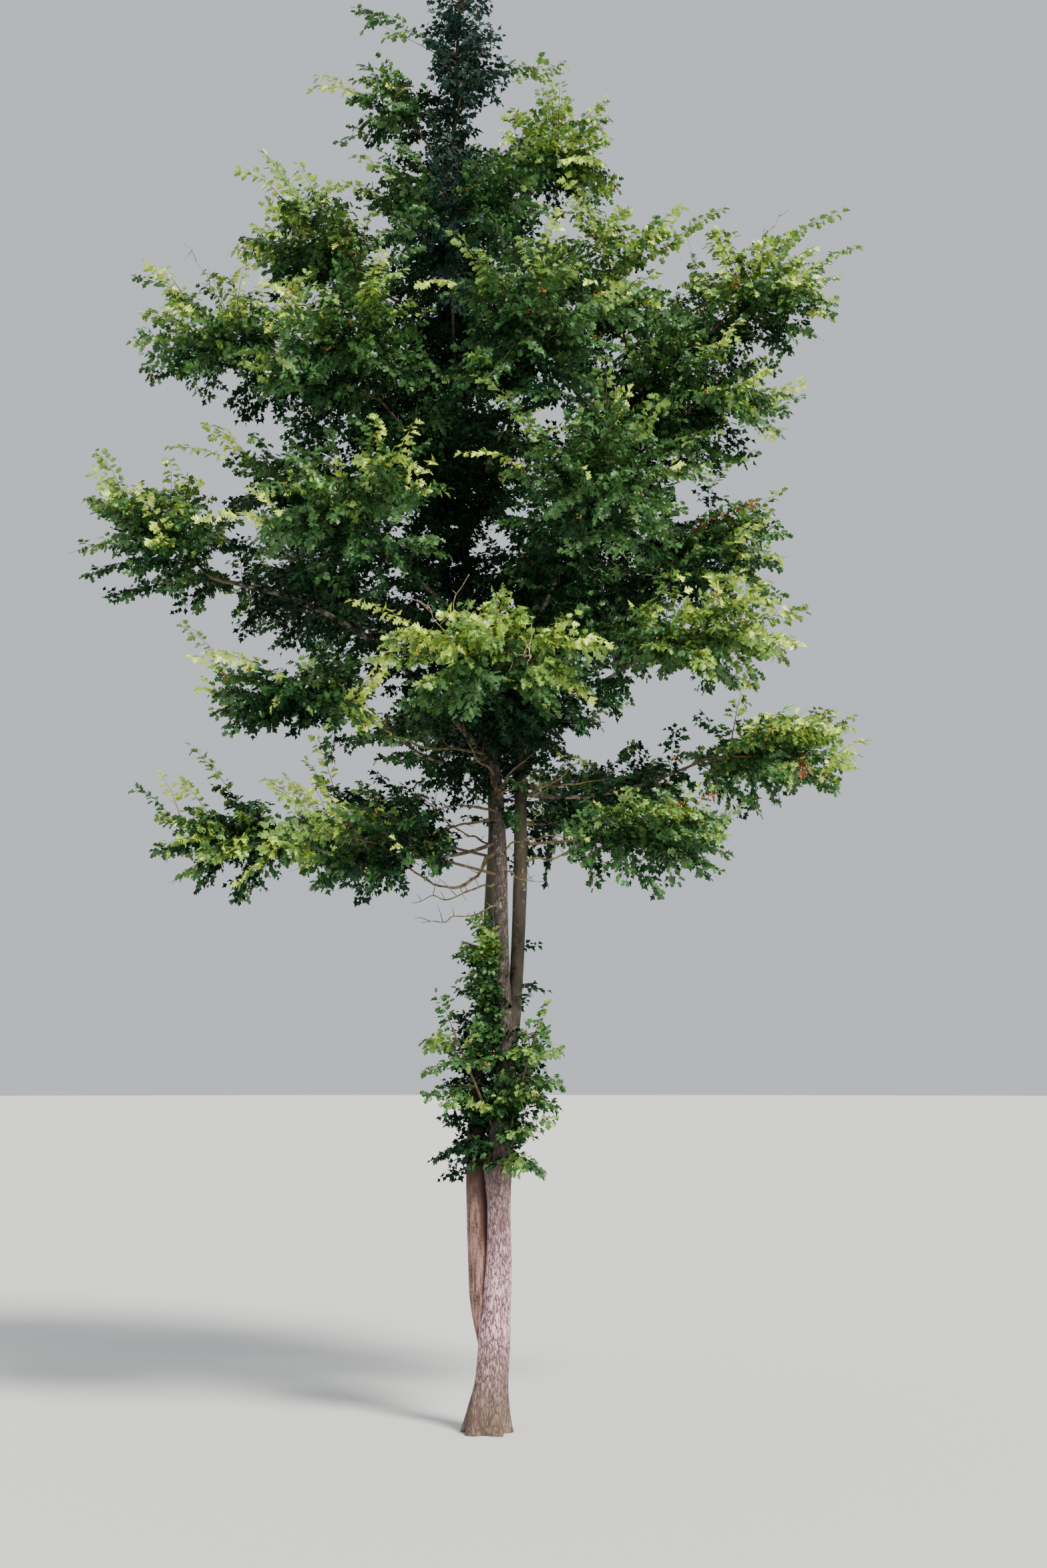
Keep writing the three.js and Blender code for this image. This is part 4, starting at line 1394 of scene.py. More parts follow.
def sprout(found, start, heading, around, least, most, shade, chance):
    """One shoot out of a limb."""
    side = SIDEWAYS if abs(heading[2]) > NEARLY_ALONG else unit(np.cross(heading, UP))
    over = np.cross(side, heading)
    out = side * math.cos(around) + over * math.sin(around)
    way = unit(out + LIMB_SHOOT_AHEAD * heading + UP * chance.uniform(*LIMB_SHOOT_LIFT))
    length = room_for(NO_SPACE, start, way, chance.uniform(least, most))
    face = unit(UP + LIMB_SHOOT_TILT * chance.normal(size=3))
    branch_spray(found, NO_SPACE, start, way, length, face, chance, shade)


limb_chance = np.random.default_rng(LIMB_SEED)
from_limbs = []
for name, low, high, gap, least, most, shade, (side_middle, side_share) in LIMB_SHOOTS:
    route = routes[name]
    for n, height in enumerate(np.arange(low, min(high, route.at(1)[2]), gap)):
        scatter = limb_chance.uniform(-LIMB_ROOT_SCATTER, LIMB_ROOT_SCATTER)
        start = point_on(route, height + scatter * gap)
        turn = n * GOLDEN_ANGLE + limb_chance.uniform(-LIMB_TURN_SCATTER, LIMB_TURN_SCATTER)
        around = side_middle + side_share * (turn % (2 * math.pi) - math.pi)
        sprout(from_limbs, start, UP, around, least, most, shade, limb_chance)
print(len(from_limbs), "shoots on the trunk and stems")

# %% Arching shoots
# Long thin shoots that arch out of the leader: height of the root, tip, bow
ARCHING_SHOOTS = (
    (6560, (-640, -60, 6790), 0.10),
    (6420, (330, -60, 6475), 0.16),
    (6180, (-600, -120, 6420), 0.12),
)
ARCHING_RADII = (1.6 * SHOOT_RADIUS, SHOOT_TIP)
SIDES_OF_ARCH = 6
FIRST_SIDE_ON_ARCH = 0.45
NEXT_SIDE_ON_ARCH = 0.09
SIDE_OF_ARCH_LENGTH = (50, 130)
SIDE_OF_ARCH_SCATTER = 0.6
SIDE_OF_ARCH_DROOP = 0.4
SIDE_OF_ARCH_BOW = 0.05

for height, tip, bow in ARCHING_SHOOTS:
    start = point_on(routes["trunk"], height)
    length = np.linalg.norm(tip - start)
    arching = Shoot(NO_SPACE, start, unit(tip - start), length, ARCHING_RADII, UP, bow)
    from_limbs.append(arching)
    for n in range(SIDES_OF_ARCH):
        root = arching.at(FIRST_SIDE_ON_ARCH + NEXT_SIDE_ON_ARCH * n)[0]
        scatter = SIDE_OF_ARCH_SCATTER * length * limb_chance.normal(size=3)
        way = unit(tip - start + scatter - SIDE_OF_ARCH_DROOP * length * UP)
        reach = limb_chance.uniform(*SIDE_OF_ARCH_LENGTH)
        radii = (SHOOT_RADIUS, SHOOT_TIP)
        from_limbs.append(Shoot(NO_SPACE, root, way, reach, radii, UP, SIDE_OF_ARCH_BOW))
print(len(from_limbs), "shoots with those that arch out of the leader")

# %% Shoots from the boughs
BOUGH_SHOOT_FROM = 0.2
BOUGH_SHOOT_EVERY = 26
BOUGH_SHOOT_LENGTH = (120, 340)
BOUGH_SHOOT_SHADE = 24
# Boughs with longer and closer shoots, or with shorter and fewer
FULLNESS = {
    "left_mid_outer": 1.6, "left_mid_front": 1.3, "left_upper": 1.2, "right_mid": 1.5,
    "right_centre": 1.4, "right_upper_outer": 1.7, "right_crest": 1.2, "front_mid": 1.2,
    "left_low_outer": 0.6, "right_low_outer": 0.8,
}

for space in spaces:
    if not space.bough:
        continue
    route = routes["bough_" + space.name]
    full = FULLNESS.get(space.name, 1)
    least, most = (full * length for length in BOUGH_SHOOT_LENGTH)
    runs = np.arange(BOUGH_SHOOT_FROM / full * route.length, route.length, BOUGH_SHOOT_EVERY / full)
    for n, run in enumerate(runs):
        share = run / route.length
        around = n * GOLDEN_ANGLE
        sprout(from_limbs, route.at(share), route.heading(share), around, least, most,
               BOUGH_SHOOT_SHADE, limb_chance)
shoots += from_limbs
print(len(from_limbs), "shoots from all the limbs, which makes", len(shoots))

# %% [markdown]
# ## Tints by spray
# A hawthorn in late summer is yellow green where its outer shoots take the sun, dark and blue
# green in the shade inside, and here and there a spray has turned brown. Light in the render does
# part of that, and the tints paint the rest: painted sunlight on the outer shoots and painted
# shade inside. One leaf picture in many tints could do it, but the shade has to follow the crown.
# So the shoots over each shoot are counted, and the fewer there are, the brighter its painted
# light. A little scatter keeps the tints from lying in clean patches.

# %% Seven tints
# Leaf shapes by their place in the list of outlines below
OUTER_LEAVES = (0, 0, 1)
SPUR_LEAVES = (2, 2, 2, 0)
SMALL_LEAVES = (2,)
INNER_LEAVES = (3, 3, 4)
# Painted light and shade: sunlit and light are painted sunlight, green is half lit, deep and shaded are
# painted shade, leader is painted shade with a painted bluish haze, and turned is the leaves' own brown
# Colour, leaf shapes, longest leaf and the gap between leaves
TINTS = {
    "sunlit": (colour(190, 216, 90), OUTER_LEAVES, 50, 16.5),
    "light": (colour(118, 154, 68), SPUR_LEAVES, 46, 11.5),
    "green": (colour(64, 104, 52), SMALL_LEAVES, 43, 9.5),
    "deep": (colour(24, 66, 30), INNER_LEAVES, 42, 8.5),
    "shaded": (colour(8, 40, 18), INNER_LEAVES, 42, 9),
    "turned": (colour(150, 84, 48), SPUR_LEAVES, 46, 14),
    "leader": (colour(26, 58, 48), INNER_LEAVES, 42, 9),
}
SUNLIT, LIGHT, GREEN, DEEP_SHADE, SHADED, TURNED, SHADED_LEADER = range(len(TINTS))
DARK_TINTS = (DEEP_SHADE, SHADED, SHADED_LEADER)
print(len(TINTS), "tints of leaf")

# %% How much lies over each shoot
TINT_SEED = 11
COVER_REACH = 170
# The light comes in from the upper right in front, so what counts as above leans that way
COVER_SLANT = (0.4, -0.55)
COVER_FROM = 20
COVER_TO = 1400
COVER_VARIES = (0.4, 1.7)
COVER_MORE = 12

middles = np.array([shoot.at(SHOOT_MIDDLE)[0] for shoot in shoots])
tint_chance = np.random.default_rng(TINT_SEED)
cover = np.zeros(len(shoots))
for number, middle in enumerate(middles):
    offset = middles - middle
    above = offset[:, 2]
    aside = offset[:, :2] - above[:, None] * COVER_SLANT
    near = np.sum(aside ** 2, axis=1) < COVER_REACH ** 2
    cover[number] = np.sum(near & (above > COVER_FROM) & (above < COVER_TO))
cover *= tint_chance.uniform(*COVER_VARIES, len(shoots))
cover += tint_chance.uniform(0, COVER_MORE, len(shoots)) + np.array([shoot.shade for shoot in shoots])
print("the middle shoot has a cover of", round(float(np.median(cover)), 1))

# %% Shade of the masses and the leader
# What is added to the cover of a mass's shoots: its leaves are brighter below 0 and darker above
SHADE_OF_MASS = {
    "spire_side": 400, "spire_top": 400, "left_crest": 10, "right_crest": -18, "back_crest": 30,
    "front_upper": 24, "back_upper": 12, "left_upper": -10, "right_upper_outer": -14,
    "right_upper_inner": -14, "front_mid": 8, "left_mid_outer": -12, "right_mid": -6,
    "left_big_outer": -10, "right_front": 8, "front_shelf": -32, "right_shelf": -28,
    "left_arch": -46, "left_low_outer": -62, "left_low_near": -44, "left_low_back": -30,
    "right_low_outer": -24, "right_low_back": -40, "tuft_left": -8, "tuft_right": -8,
}
# Leaves on the near side of the upper trunk, round the leader, get painted shade, dark and with a
# painted bluish haze
LEADER_FROM = 4750
LEADER_WIDTH = 85
LEADER_SHADE = 400
LEADER_SAMPLES = 40


def shade_of_mass(shoot):
    return 0 if shoot.index == NO_SPACE else SHADE_OF_MASS.get(spaces[shoot.index].name, 0)


cover += np.array([shade_of_mass(shoot) for shoot in shoots])
heights = np.linspace(LEADER_FROM, routes["trunk"].at(1)[2], LEADER_SAMPLES)
trunk_x = [point_on(routes["trunk"], height)[0] for height in heights]
beside_leader = np.abs(middles[:, 0] - np.interp(middles[:, 2], heights, trunk_x))
on_leader = (middles[:, 2] > LEADER_FROM) & (beside_leader < LEADER_WIDTH) & (middles[:, 1] < 0)
cover += LEADER_SHADE * on_leader
print(int(on_leader.sum()), "shoots on the near side of the leader")

# %% A tint for each shoot
# Shares of the shoots at which one tint gives way to the next
TINT_STEPS = (0.03, 0.10, 0.40, 0.69)
TINT_SCATTER = 0.06
TURNED_SHARE = 0.0004
# More sprays have turned low down on the right
TURNED_LOW_SHARE = 0.014
TURNED_RIGHT_OF = 900
TURNED_BELOW = 3700
# Below this height are the tufts round the trunk, which have no sunlit leaves
TUFT_TOP = 2400


def rank(values):
    """The place of each value in their order, from 0 to 1."""
    return np.argsort(np.argsort(values)) / len(values)


order = rank(rank(cover) + tint_chance.normal(0, TINT_SCATTER, len(shoots)))
tint_of_shoot = np.searchsorted(TINT_STEPS, order)
low_right = (middles[:, 0] > TURNED_RIGHT_OF) & (middles[:, 2] < TURNED_BELOW)
turned_share = np.where(low_right, TURNED_LOW_SHARE, TURNED_SHARE)
tint_of_shoot[tint_chance.random(len(shoots)) < turned_share] = TURNED
# Shoots under the leader's painted shade take its dark tint with the painted bluish haze
tint_of_shoot[cover > LEADER_SHADE] = SHADED_LEADER
tint_of_shoot[(tint_of_shoot == SUNLIT) & (middles[:, 2] < TUFT_TOP)] = LIGHT
print("shoots of each tint:", np.bincount(tint_of_shoot))

# %% [markdown]
# ## Tubes from arrays
# Thousands of thin twigs are too many for one operator call each. All shoots of one kind have the
# same count of rings and sides, so their corners are worked out together as one array, and one
# mesh takes them all. Each tube starts on the line of what carries it and is closed at its ends.

# %% Tubes from arrays
STEEP = 0.9


def unit_rows(rows):
    return rows / np.linalg.norm(rows, axis=-1, keepdims=True)


def crosswise(ahead):
    """Two directions across each of many others."""
    side = unit_rows(np.cross(ahead, np.where(np.abs(ahead[..., 2:]) > STEEP, SIDEWAYS, UP)))
    return side, np.cross(ahead, side)


def copied(faces, count, corners):
    """The faces of one shape, numbered again for each of its copies."""
    return (faces[None] + (np.arange(count) * corners)[:, None, None]).reshape(-1, 3)


def tubes(lines, radii, sides):
    """Vertices and faces of many tubes: lines is tubes x rings x 3 and radii is tubes x rings."""
    count, rings, _ = lines.shape
    side, front = crosswise(unit_rows(np.gradient(lines, axis=1)))
    angle = 2 * math.pi * np.arange(sides) / sides
    ring = side[:, :, None] * np.cos(angle)[:, None] + front[:, :, None] * np.sin(angle)[:, None]
    corners = lines[:, :, None] + ring * radii[:, :, None, None]
    base = np.arange(rings - 1)[:, None] * sides
    here = base + np.arange(sides)
    after = base + (np.arange(sides) + 1) % sides
    quads = np.stack([here, after, after + sides, here + sides], axis=-1).reshape(-1, 4)
    wall = np.concatenate([quads[:, [0, 1, 2]], quads[:, [0, 2, 3]]])
    fan = np.stack([np.zeros(sides - 2, int), np.arange(1, sides - 1), np.arange(2, sides)], axis=-1)
    caps = np.concatenate([fan[:, ::-1], fan + (rings - 1) * sides])
    faces = np.concatenate([wall, caps])
    return corners.reshape(-1, 3) * MM, copied(faces, count, rings * sides)


def spikes(starts, tips, radii):
    """Vertices and faces of many slender shoots with three sides and a pointed tip."""
    side, front = crosswise(unit_rows(tips - starts))
    corners = [starts + radii[:, None] * (math.cos(turn) * side + math.sin(turn) * front)
               for turn in 2 * math.pi * np.arange(3) / 3]
    vertices = np.stack([*corners, tips], axis=1)
    faces = np.array(((0, 1, 3), (1, 2, 3), (2, 0, 3), (2, 1, 0)))
    return vertices.reshape(-1, 3) * MM, copied(faces, len(starts), 4)


_, sample_faces = tubes(np.array([[(0, 0, 0), (0, 0, 1)]]), np.ones((1, 2)), 4)
print("a straight tube with four sides has", len(sample_faces), "triangles")

# %% Arrays to meshes
def joined(parts):
    """Several arrays of vertices and faces as one."""
    vertices = np.concatenate([part[0] for part in parts])
    shifts = np.cumsum([0] + [len(part[0]) for part in parts[:-1]])
    faces = np.concatenate([part[1] + shift for part, shift in zip(parts, shifts)])
    return vertices, faces


def mesh_from(name, vertices, faces):
    mesh = bpy.data.meshes.new(name)
    mesh.vertices.add(len(vertices))
    mesh.vertices.foreach_set("co", vertices.astype(np.float32).ravel())
    mesh.loops.add(3 * len(faces))
    mesh.loops.foreach_set("vertex_index", faces.astype(np.int32).ravel())
    mesh.polygons.add(len(faces))
    mesh.polygons.foreach_set("loop_start", np.arange(0, 3 * len(faces), 3, dtype=np.int32))
    mesh.update(calc_edges=True)
    return mesh


print("meshes take their corners as one array")

# %% [markdown]
# ## Twigs
# Twigs are brown with a little ochre lichen and are mostly hidden by leaves. Every one could be a
# fine round tube, but there are thousands, so only those that show get rings: the bare twigs, and
# the main shoots of the brighter sprays with their bow. The others are straight, slender spikes.

# %% Twig bark
TWIG_BARK = (colour(74, 58, 44), colour(112, 96, 66))
OCHRE_LICHEN = colour(170, 150, 84)

twig_finish = Finish("twig_bark", 0.7)
twig_grain = twig_finish.grain(twig_finish.place(), scale=38, detail=3)
twig_tone = twig_finish.mix(twig_grain.ramp(0.35, 0.65), *TWIG_BARK)
ochre = lichen(twig_finish, 60, 0.62, 0.7)
twig_finish.feed("Base Color", twig_finish.mix(ochre, twig_tone, OCHRE_LICHEN))
twig_finish.bump(twig_grain, 0.3, 0.001)
print("twigs are brown with ochre lichen")

# %% Twigs
STEM_RINGS = 14
STEM_SIDES_IN_LEAVES = 6
TWIG_RINGS = 4
TWIG_SIDES = 4
SHOOT_RINGS = 3
SHOOT_SIDES = 3


def shoot_tubes(chosen, rings, sides):
    shares = np.linspace(0, 1, rings)
    lines = np.array([shoot.at(shares) for shoot in chosen])
    radii = np.array([np.linspace(*shoot.radii, rings) for shoot in chosen])
    return tubes(lines, radii, sides)


bare, bowed, straight = [], [], []
for shoot, tint in zip(shoots, tint_of_shoot):
    if not shoot.leafy:
        bare.append(shoot)
    elif shoot.radii[0] == SHOOT_RADIUS and tint not in DARK_TINTS:
        bowed.append(shoot)
    else:
        straight.append(shoot)

shares = np.linspace(0, 1, STEM_RINGS)
stem_lines = np.array([space.stem.at(shares) for space in spaces])
stem_radii = np.array([np.linspace(space.stem_base, TWIG_RADII[0], STEM_RINGS) for space in spaces])
straight_starts = np.array([shoot.start for shoot in straight])
straight_tips = np.array([shoot.at(1)[0] for shoot in straight])
straight_radii = np.array([shoot.radii[0] for shoot in straight])
twig_parts = [
    tubes(stem_lines, stem_radii, STEM_SIDES_IN_LEAVES),
    shoot_tubes(bare, TWIG_RINGS, TWIG_SIDES),
    shoot_tubes(bowed, SHOOT_RINGS, SHOOT_SIDES),
    spikes(straight_starts, straight_tips, straight_radii),
]
mass_nodes = ["foliage_" + space.name for space in spaces]
twig_mesh = mesh_from("twigs", *joined(twig_parts))
finish_piece(twig_mesh, "twigs", twig_finish, mass_nodes)

# %% [markdown]
# ## One leaf
# A hawthorn leaf is cut into three to seven lobes, deepest near its foot. One half is drawn as a
# single face, triangulated and mirrored, and then the blade is folded along its midrib and bent
# down at its tip. A picture of a leaf on a square card would be cheaper, but this tree uses no
# pictures, and a real outline keeps the gaps of sky right.

# %% One leaf
# Right half of each outline, from the foot to the tip of a leaf one long
LEAF_OUTLINES = {
    "deep": ((0.38, 0.24), (0.50, 0.41), (0.16, 0.44), (0.42, 0.68), (0.15, 0.72), (0.18, 0.90)),
    "broad": ((0.44, 0.28), (0.57, 0.48), (0.18, 0.50), (0.41, 0.78), (0.17, 0.78), (0.17, 0.93)),
    "five": ((0.47, 0.36), (0.17, 0.46), (0.37, 0.72)),
    "three": ((0.48, 0.46), (0.18, 0.57)),
    "narrow": ((0.36, 0.52), (0.17, 0.64)),
}
WITH_STALK = ("deep", "broad")
LEAF_FOLD = 0.32
LEAF_BEND = 0.22
STALK = 0.22
STALK_WIDTH = 0.016
STALK_OVERLAP = 0.02
# A leaf without a stalk still stands this share of one off its twig
NO_STALK = 0.3


def leaf_shape(outline, stalked):
    """Points and triangles of a leaf one long that lies along +Y and faces +Z."""
    shape = bmesh.new()
    corners = ((0, 0), *outline, (0, 1))
    face = shape.faces.new([shape.verts.new((x, y, 0)) for x, y in corners])
    shape.normal_update()
    bmesh.ops.triangulate(shape, faces=[face])
    half = shape.verts[:] + shape.edges[:] + shape.faces[:]
    bmesh.ops.mirror(shape, geom=half, axis="X", merge_dist=1e-4)
    if stalked:
        ends = ((-STALK_WIDTH, STALK_OVERLAP, 0), (0, -STALK, 0), (STALK_WIDTH, STALK_OVERLAP, 0))
        shape.faces.new([shape.verts.new(end) for end in ends])
    bmesh.ops.recalc_face_normals(shape, faces=shape.faces)
    for vertex in shape.verts:
        x, y = vertex.co.x, vertex.co.y
        vertex.co.z = LEAF_FOLD * abs(x) - LEAF_BEND * max(0, y) ** 2
    shape.verts.index_update()
    points = np.array([vertex.co for vertex in shape.verts])
    triangles = []
    for part in shape.faces:
        corners = [vertex.index for vertex in part.verts]
        triangles.append(corners if part.normal.z >= 0 else corners[::-1])
    shape.free()
    points[:, 1] += STALK if stalked else NO_STALK * STALK
    return points, np.array(triangles)


leaf_shapes = [leaf_shape(outline, name in WITH_STALK) for name, outline in LEAF_OUTLINES.items()]
print([len(triangles) for _, triangles in leaf_shapes], "triangles a leaf")

# %% [markdown]
# ## Leaves on the shoots
# Leaves stand on alternate sides of a shoot, lean forward and hang a little, and on older twigs
# they sit in rings on short spurs. Geometry nodes could place them, but the draws are easier to
# follow as rows of numbers, one row for each leaf. A leaf that would leave its space is left out.

# %% Leaves along a shoot
FEWEST_LEAVES = 3
LEAF_PLACE = (0.25, 0.85)
LEAF_ANGLE = (28, 68)
# The last leaves of a shoot point almost straight ahead
TIP_FROM = 0.97
TIP_ANGLE = 0.25
LEAF_LIFT = (0.08, 0.22)
LEAF_HANG = (0.05, 0.75)
LEAF_TILT = 0.42
LEAF_VARIES = (0.68, 1.12)
LARGEST_AT_ROOT = 1.04
SMALLER_TO_TIP = 0.22


def leaves_on(shoot, size, gap, chance):
    """Roots, directions, faces and sizes of a shoot's leaves."""
    count = max(FEWEST_LEAVES, int(shoot.length / gap))
    shares = (np.arange(count) + chance.uniform(*LEAF_PLACE, count)) / (count - 0.3)
    shares = np.minimum(shares, 1)
    roots = shoot.at(shares)
    side = np.where(np.arange(count) % 2, 1.0, -1.0)
    across = side_of(shoot.direction, shoot.face)
    turn = np.radians(chance.uniform(*LEAF_ANGLE, count)) * np.where(shares > TIP_FROM, TIP_ANGLE, 1)
    out = np.cos(turn)[:, None] * shoot.direction + (np.sin(turn) * side)[:, None] * across
    lift = shoot.face * chance.normal(*LEAF_LIFT, (count, 1))
    out += lift - UP * chance.uniform(*LEAF_HANG, (count, 1))
    faces = shoot.face + LEAF_TILT * chance.normal(size=(count, 3))
    sizes = size * chance.uniform(*LEAF_VARIES, count) * (LARGEST_AT_ROOT - SMALLER_TO_TIP * shares)
    return roots, out, faces, sizes


print("leaves turn out by", LEAF_ANGLE[0], "to", LEAF_ANGLE[1], "degrees")

# %% Rings of leaves on spurs
ROSETTE_PER_GAP = 3.6
ROSETTE_LEAVES = 5
ROSETTE_PLACE = (0.2, 0.8)
ROSETTE_AHEAD = 0.35
ROSETTE_SCATTER = 0.25
ROSETTE_TILT = 0.5
ROSETTE_VARIES = (0.5, 0.9)


def rosettes_on(shoot, size, gap, chance):
    """Short spurs along a twig, each with a ring of leaves."""
    count = int(shoot.length / (ROSETTE_PER_GAP * gap))
    places = (np.arange(count) + chance.uniform(*ROSETTE_PLACE, count)) / max(count, 1)
    shares = np.repeat(places, ROSETTE_LEAVES)
    roots = shoot.at(shares) if count else np.zeros((0, 3))
    total = len(roots)
    around = chance.uniform(0, 2 * math.pi, total)
    across = side_of(shoot.direction, UP)
    over = np.cross(shoot.direction, across)
    out = np.cos(around)[:, None] * across + np.sin(around)[:, None] * over
    out += ROSETTE_AHEAD * shoot.direction + ROSETTE_SCATTER * chance.normal(size=(total, 3))
    faces = UP + ROSETTE_TILT * chance.normal(size=(total, 3))
    sizes = size * chance.uniform(*ROSETTE_VARIES, total)
    return roots, out, faces, sizes


print(ROSETTE_LEAVES, "leaves in a ring")

# %% A row for each leaf
LEAF_SEED = 7
SPUR_SEED = 13
SPUR = 16
LEAF_REACH = 1.12
# The leaves of the tufts are a little smaller and closer
TUFT_SIZE = 0.95

kinds = list(TINTS.values())
rows = []
for number, shoot in enumerate(shoots):
    chance = np.random.default_rng((LEAF_SEED, number))
    _, _, size, gap = kinds[tint_of_shoot[number]]
    if shoot.at(0)[0][2] < TUFT_TOP:
        size, gap = TUFT_SIZE * size, TUFT_SIZE * gap
    grow = leaves_on if shoot.leafy else rosettes_on
    roots, out, faces, sizes = grow(shoot, size, gap, chance)
    rows.append((np.full(len(roots), number), roots, out, faces, sizes))
leaf_shoot, leaf_root, leaf_way, leaf_face, leaf_size = (np.concatenate(part) for part in zip(*rows))
leaf_way = unit_rows(leaf_way)
leaf_mass = np.array([shoot.index for shoot in shoots])[leaf_shoot]

on_spur = np.array([kinds[tint][1] is not OUTER_LEAVES for tint in tint_of_shoot])[leaf_shoot]
spur = on_spur * np.random.default_rng(SPUR_SEED).uniform(0, SPUR, len(leaf_root))
leaf_root += leaf_way * spur[:, None]
leaf_tip = leaf_root + leaf_way * leaf_size[:, None]
kept = leaf_mass == NO_SPACE
for index, space in enumerate(spaces):
    mine = leaf_mass == index
    kept[mine] = space.holds(leaf_tip[mine], LEAF_REACH)
kept &= in_crown(leaf_tip)
print(len(kept), "leaves, of them", int(kept.sum()), "inside their spaces")

# %% [markdown]
# ## Leaf pieces
# Real leaves differ a little from one to the next, and those in the sun are glossier than those
# inside. A material for every leaf is out of the question, and one flat colour looks dead. So each
# tint is one material, darker and lighter in patches about the size of a leaf, with a gloss of
# its own. A tint with too many triangles for one piece is cut into several.

# %% Leaf finishes
# Roughness, shine, and the darkest and lightest leaf as shares of the tint
LEAF_SHEEN = {
    "sunlit": (0.3, 0.7, 0.55, 1.5), "light": (0.34, 0.55, 0.65, 1.4),
    "green": (0.4, 0.4, 0.7, 1.3), "deep": (0.5, 0.25, 0.75, 1.25),
    "shaded": (0.55, 0.15, 0.75, 1.25), "turned": (0.4, 0.5, 0.7, 1.3),
    "leader": (0.45, 0.35, 0.75, 1.25),
}
LEAF_PATCH_SCALE = 24


def leaf_finish(name, tint):
    roughness, shine, darkest, lightest = LEAF_SHEEN[name]
    finish = Finish("leaf_" + name, roughness)
    field = finish.grain(finish.place(), scale=LEAF_PATCH_SCALE, detail=2)
    patches = finish.mix(field.ramp(0.35, 0.65), toned(tint, darkest), toned(tint, lightest))
    finish.feed("Base Color", patches)
    finish.shader.inputs["Specular IOR Level"].default_value = shine
    return finish


print(len(LEAF_SHEEN), "leaf finishes")

# %% Leaf pieces
SHAPE_SEED = 3
MOST_TRIANGLES = 190000


def leaf_mesh(name, chosen, shapes, chance):
    """One mesh from the rows of leaves that are chosen, of the shapes that are named."""
    way = leaf_way[chosen]
    side = unit_rows(np.cross(way, leaf_face[chosen]))
    axes = np.stack([side, way, np.cross(side, way)], axis=1)
    sort = chance.choice(shapes, len(chosen))
    parts = []
    for kind, (points, triangles) in enumerate(leaf_shapes):
        mine = sort == kind
        if not mine.any():
            continue
        corners = np.einsum("pk,nkc->npc", points, axes[mine]) * leaf_size[chosen][mine, None, None]
        corners += leaf_root[chosen][mine, None]
        parts.append((corners.reshape(-1, 3) * MM, copied(triangles, mine.sum(), len(points))))
    return mesh_from(name, *joined(parts))


for number, (name, (tint, shapes, _, _)) in enumerate(TINTS.items()):
    finish = leaf_finish(name, tint)
    most_leaves = MOST_TRIANGLES // len(leaf_shapes[shapes[0]][1])
    chosen = np.flatnonzero(kept & (tint_of_shoot[leaf_shoot] == number))
    for part, start in enumerate(range(0, len(chosen), most_leaves)):
        title = f"leaves_{name}_{part + 1}"
        chance = np.random.default_rng((SHAPE_SEED, number, part))
        mesh = leaf_mesh(title, chosen[start:start + most_leaves], shapes, chance)
        finish_piece(mesh, title, finish, mass_nodes, smooth=False)

# %% [markdown]
# ## Bare and dead branches
# Under the crown many branches have lost their leaves. They are crooked, knobbly and crusted with
# yellow lichen, and a few dead twigs stand pale among the leaves. Their routes are read off the
# real tree as a root and a few points. A bent line that is jogged at every step looks more like
# one of them than a smooth curve does.

# %% Places of the bare branches
# Limb, height of the root, radius, then the points that the branch passes
BARE_BRANCHES = (
    ("trunk", 3130, 11, (-330, -240, 3125), (-680, -330, 3310)),
    ("trunk", 2930, 14, (100, -110, 2990), (215, -160, 3110)),
    ("trunk", 2900, 12, (90, -150, 2925), (195, -210, 2965)),
    ("trunk", 2840, 9, (-110, -150, 2850), (-270, -180, 2835)),
    ("trunk", 2800, 10, (-160, -110, 2760), (-345, -140, 2690)),
    ("trunk", 2680, 12, (-135, -100, 2475), (-330, -140, 2540), (-570, -180, 2665)),
    ("trunk", 2520, 7, (-150, -90, 2440), (-345, -90, 2400)),
    ("trunk", 2400, 6, (-140, -90, 2340), (-300, -90, 2305)),
    ("trunk", 2660, 6, (200, -150, 2695), (375, -190, 2700)),
    ("trunk", 2560, 5, (150, -130, 2530), (275, -140, 2495)),
    ("trunk", 3010, 9, (-60, -170, 3090), (-110, -260, 3230)),
    ("right_stem", 2950, 15, (310, -110, 2975), (435, -120, 3060)),
    ("right_stem", 2930, 10, (400, -80, 2970), (570, -90, 2990)),
    ("right_stem", 2620, 7, (380, -90, 2625), (645, -110, 2570)),
    ("left_stem", 2700, 6, (-170, 60, 2790), (-330, 120, 2960)),
    ("left_stem", 2880, 6, (-90, 190, 2960), (-180, 330, 3080)),
)
# Mass, share of its stem, radius, then the points that the twig passes
DEAD_TWIGS = (
    ("front_shelf", 0.55, 3.5, (-110, -960, 3560), (-125, -975, 3640), (-60, -985, 3745)),
    ("front_shelf", 0.45, 2.5, (-200, -930, 3560), (-250, -950, 3640), (-320, -950, 3665)),
    ("front_shelf", 0.75, 4, (180, -1180, 3360), (195, -1260, 3350), (200, -1270, 3470)),
    ("right_front", 0.30, 4, (430, -640, 3900), (520, -690, 3850), (600, -700, 3865)),
    ("left_big_outer", 0.80, 4, (-1700, -120, 4350), (-1850, -160, 4270)),
    ("left_mid_outer", 0.70, 3, (-1330, -250, 5380), (-1420, -300, 5520)),
    ("right_upper_outer", 0.60, 3, (1330, -180, 5560), (1390, -230, 5690)),
)
bare_rows = []
for limb, height, radius, *points in BARE_BRANCHES:
    bare_rows.append(([point_on(routes[limb], height), *points], radius))
stems = {space.name: space.stem for space in spaces}
dead_rows = []
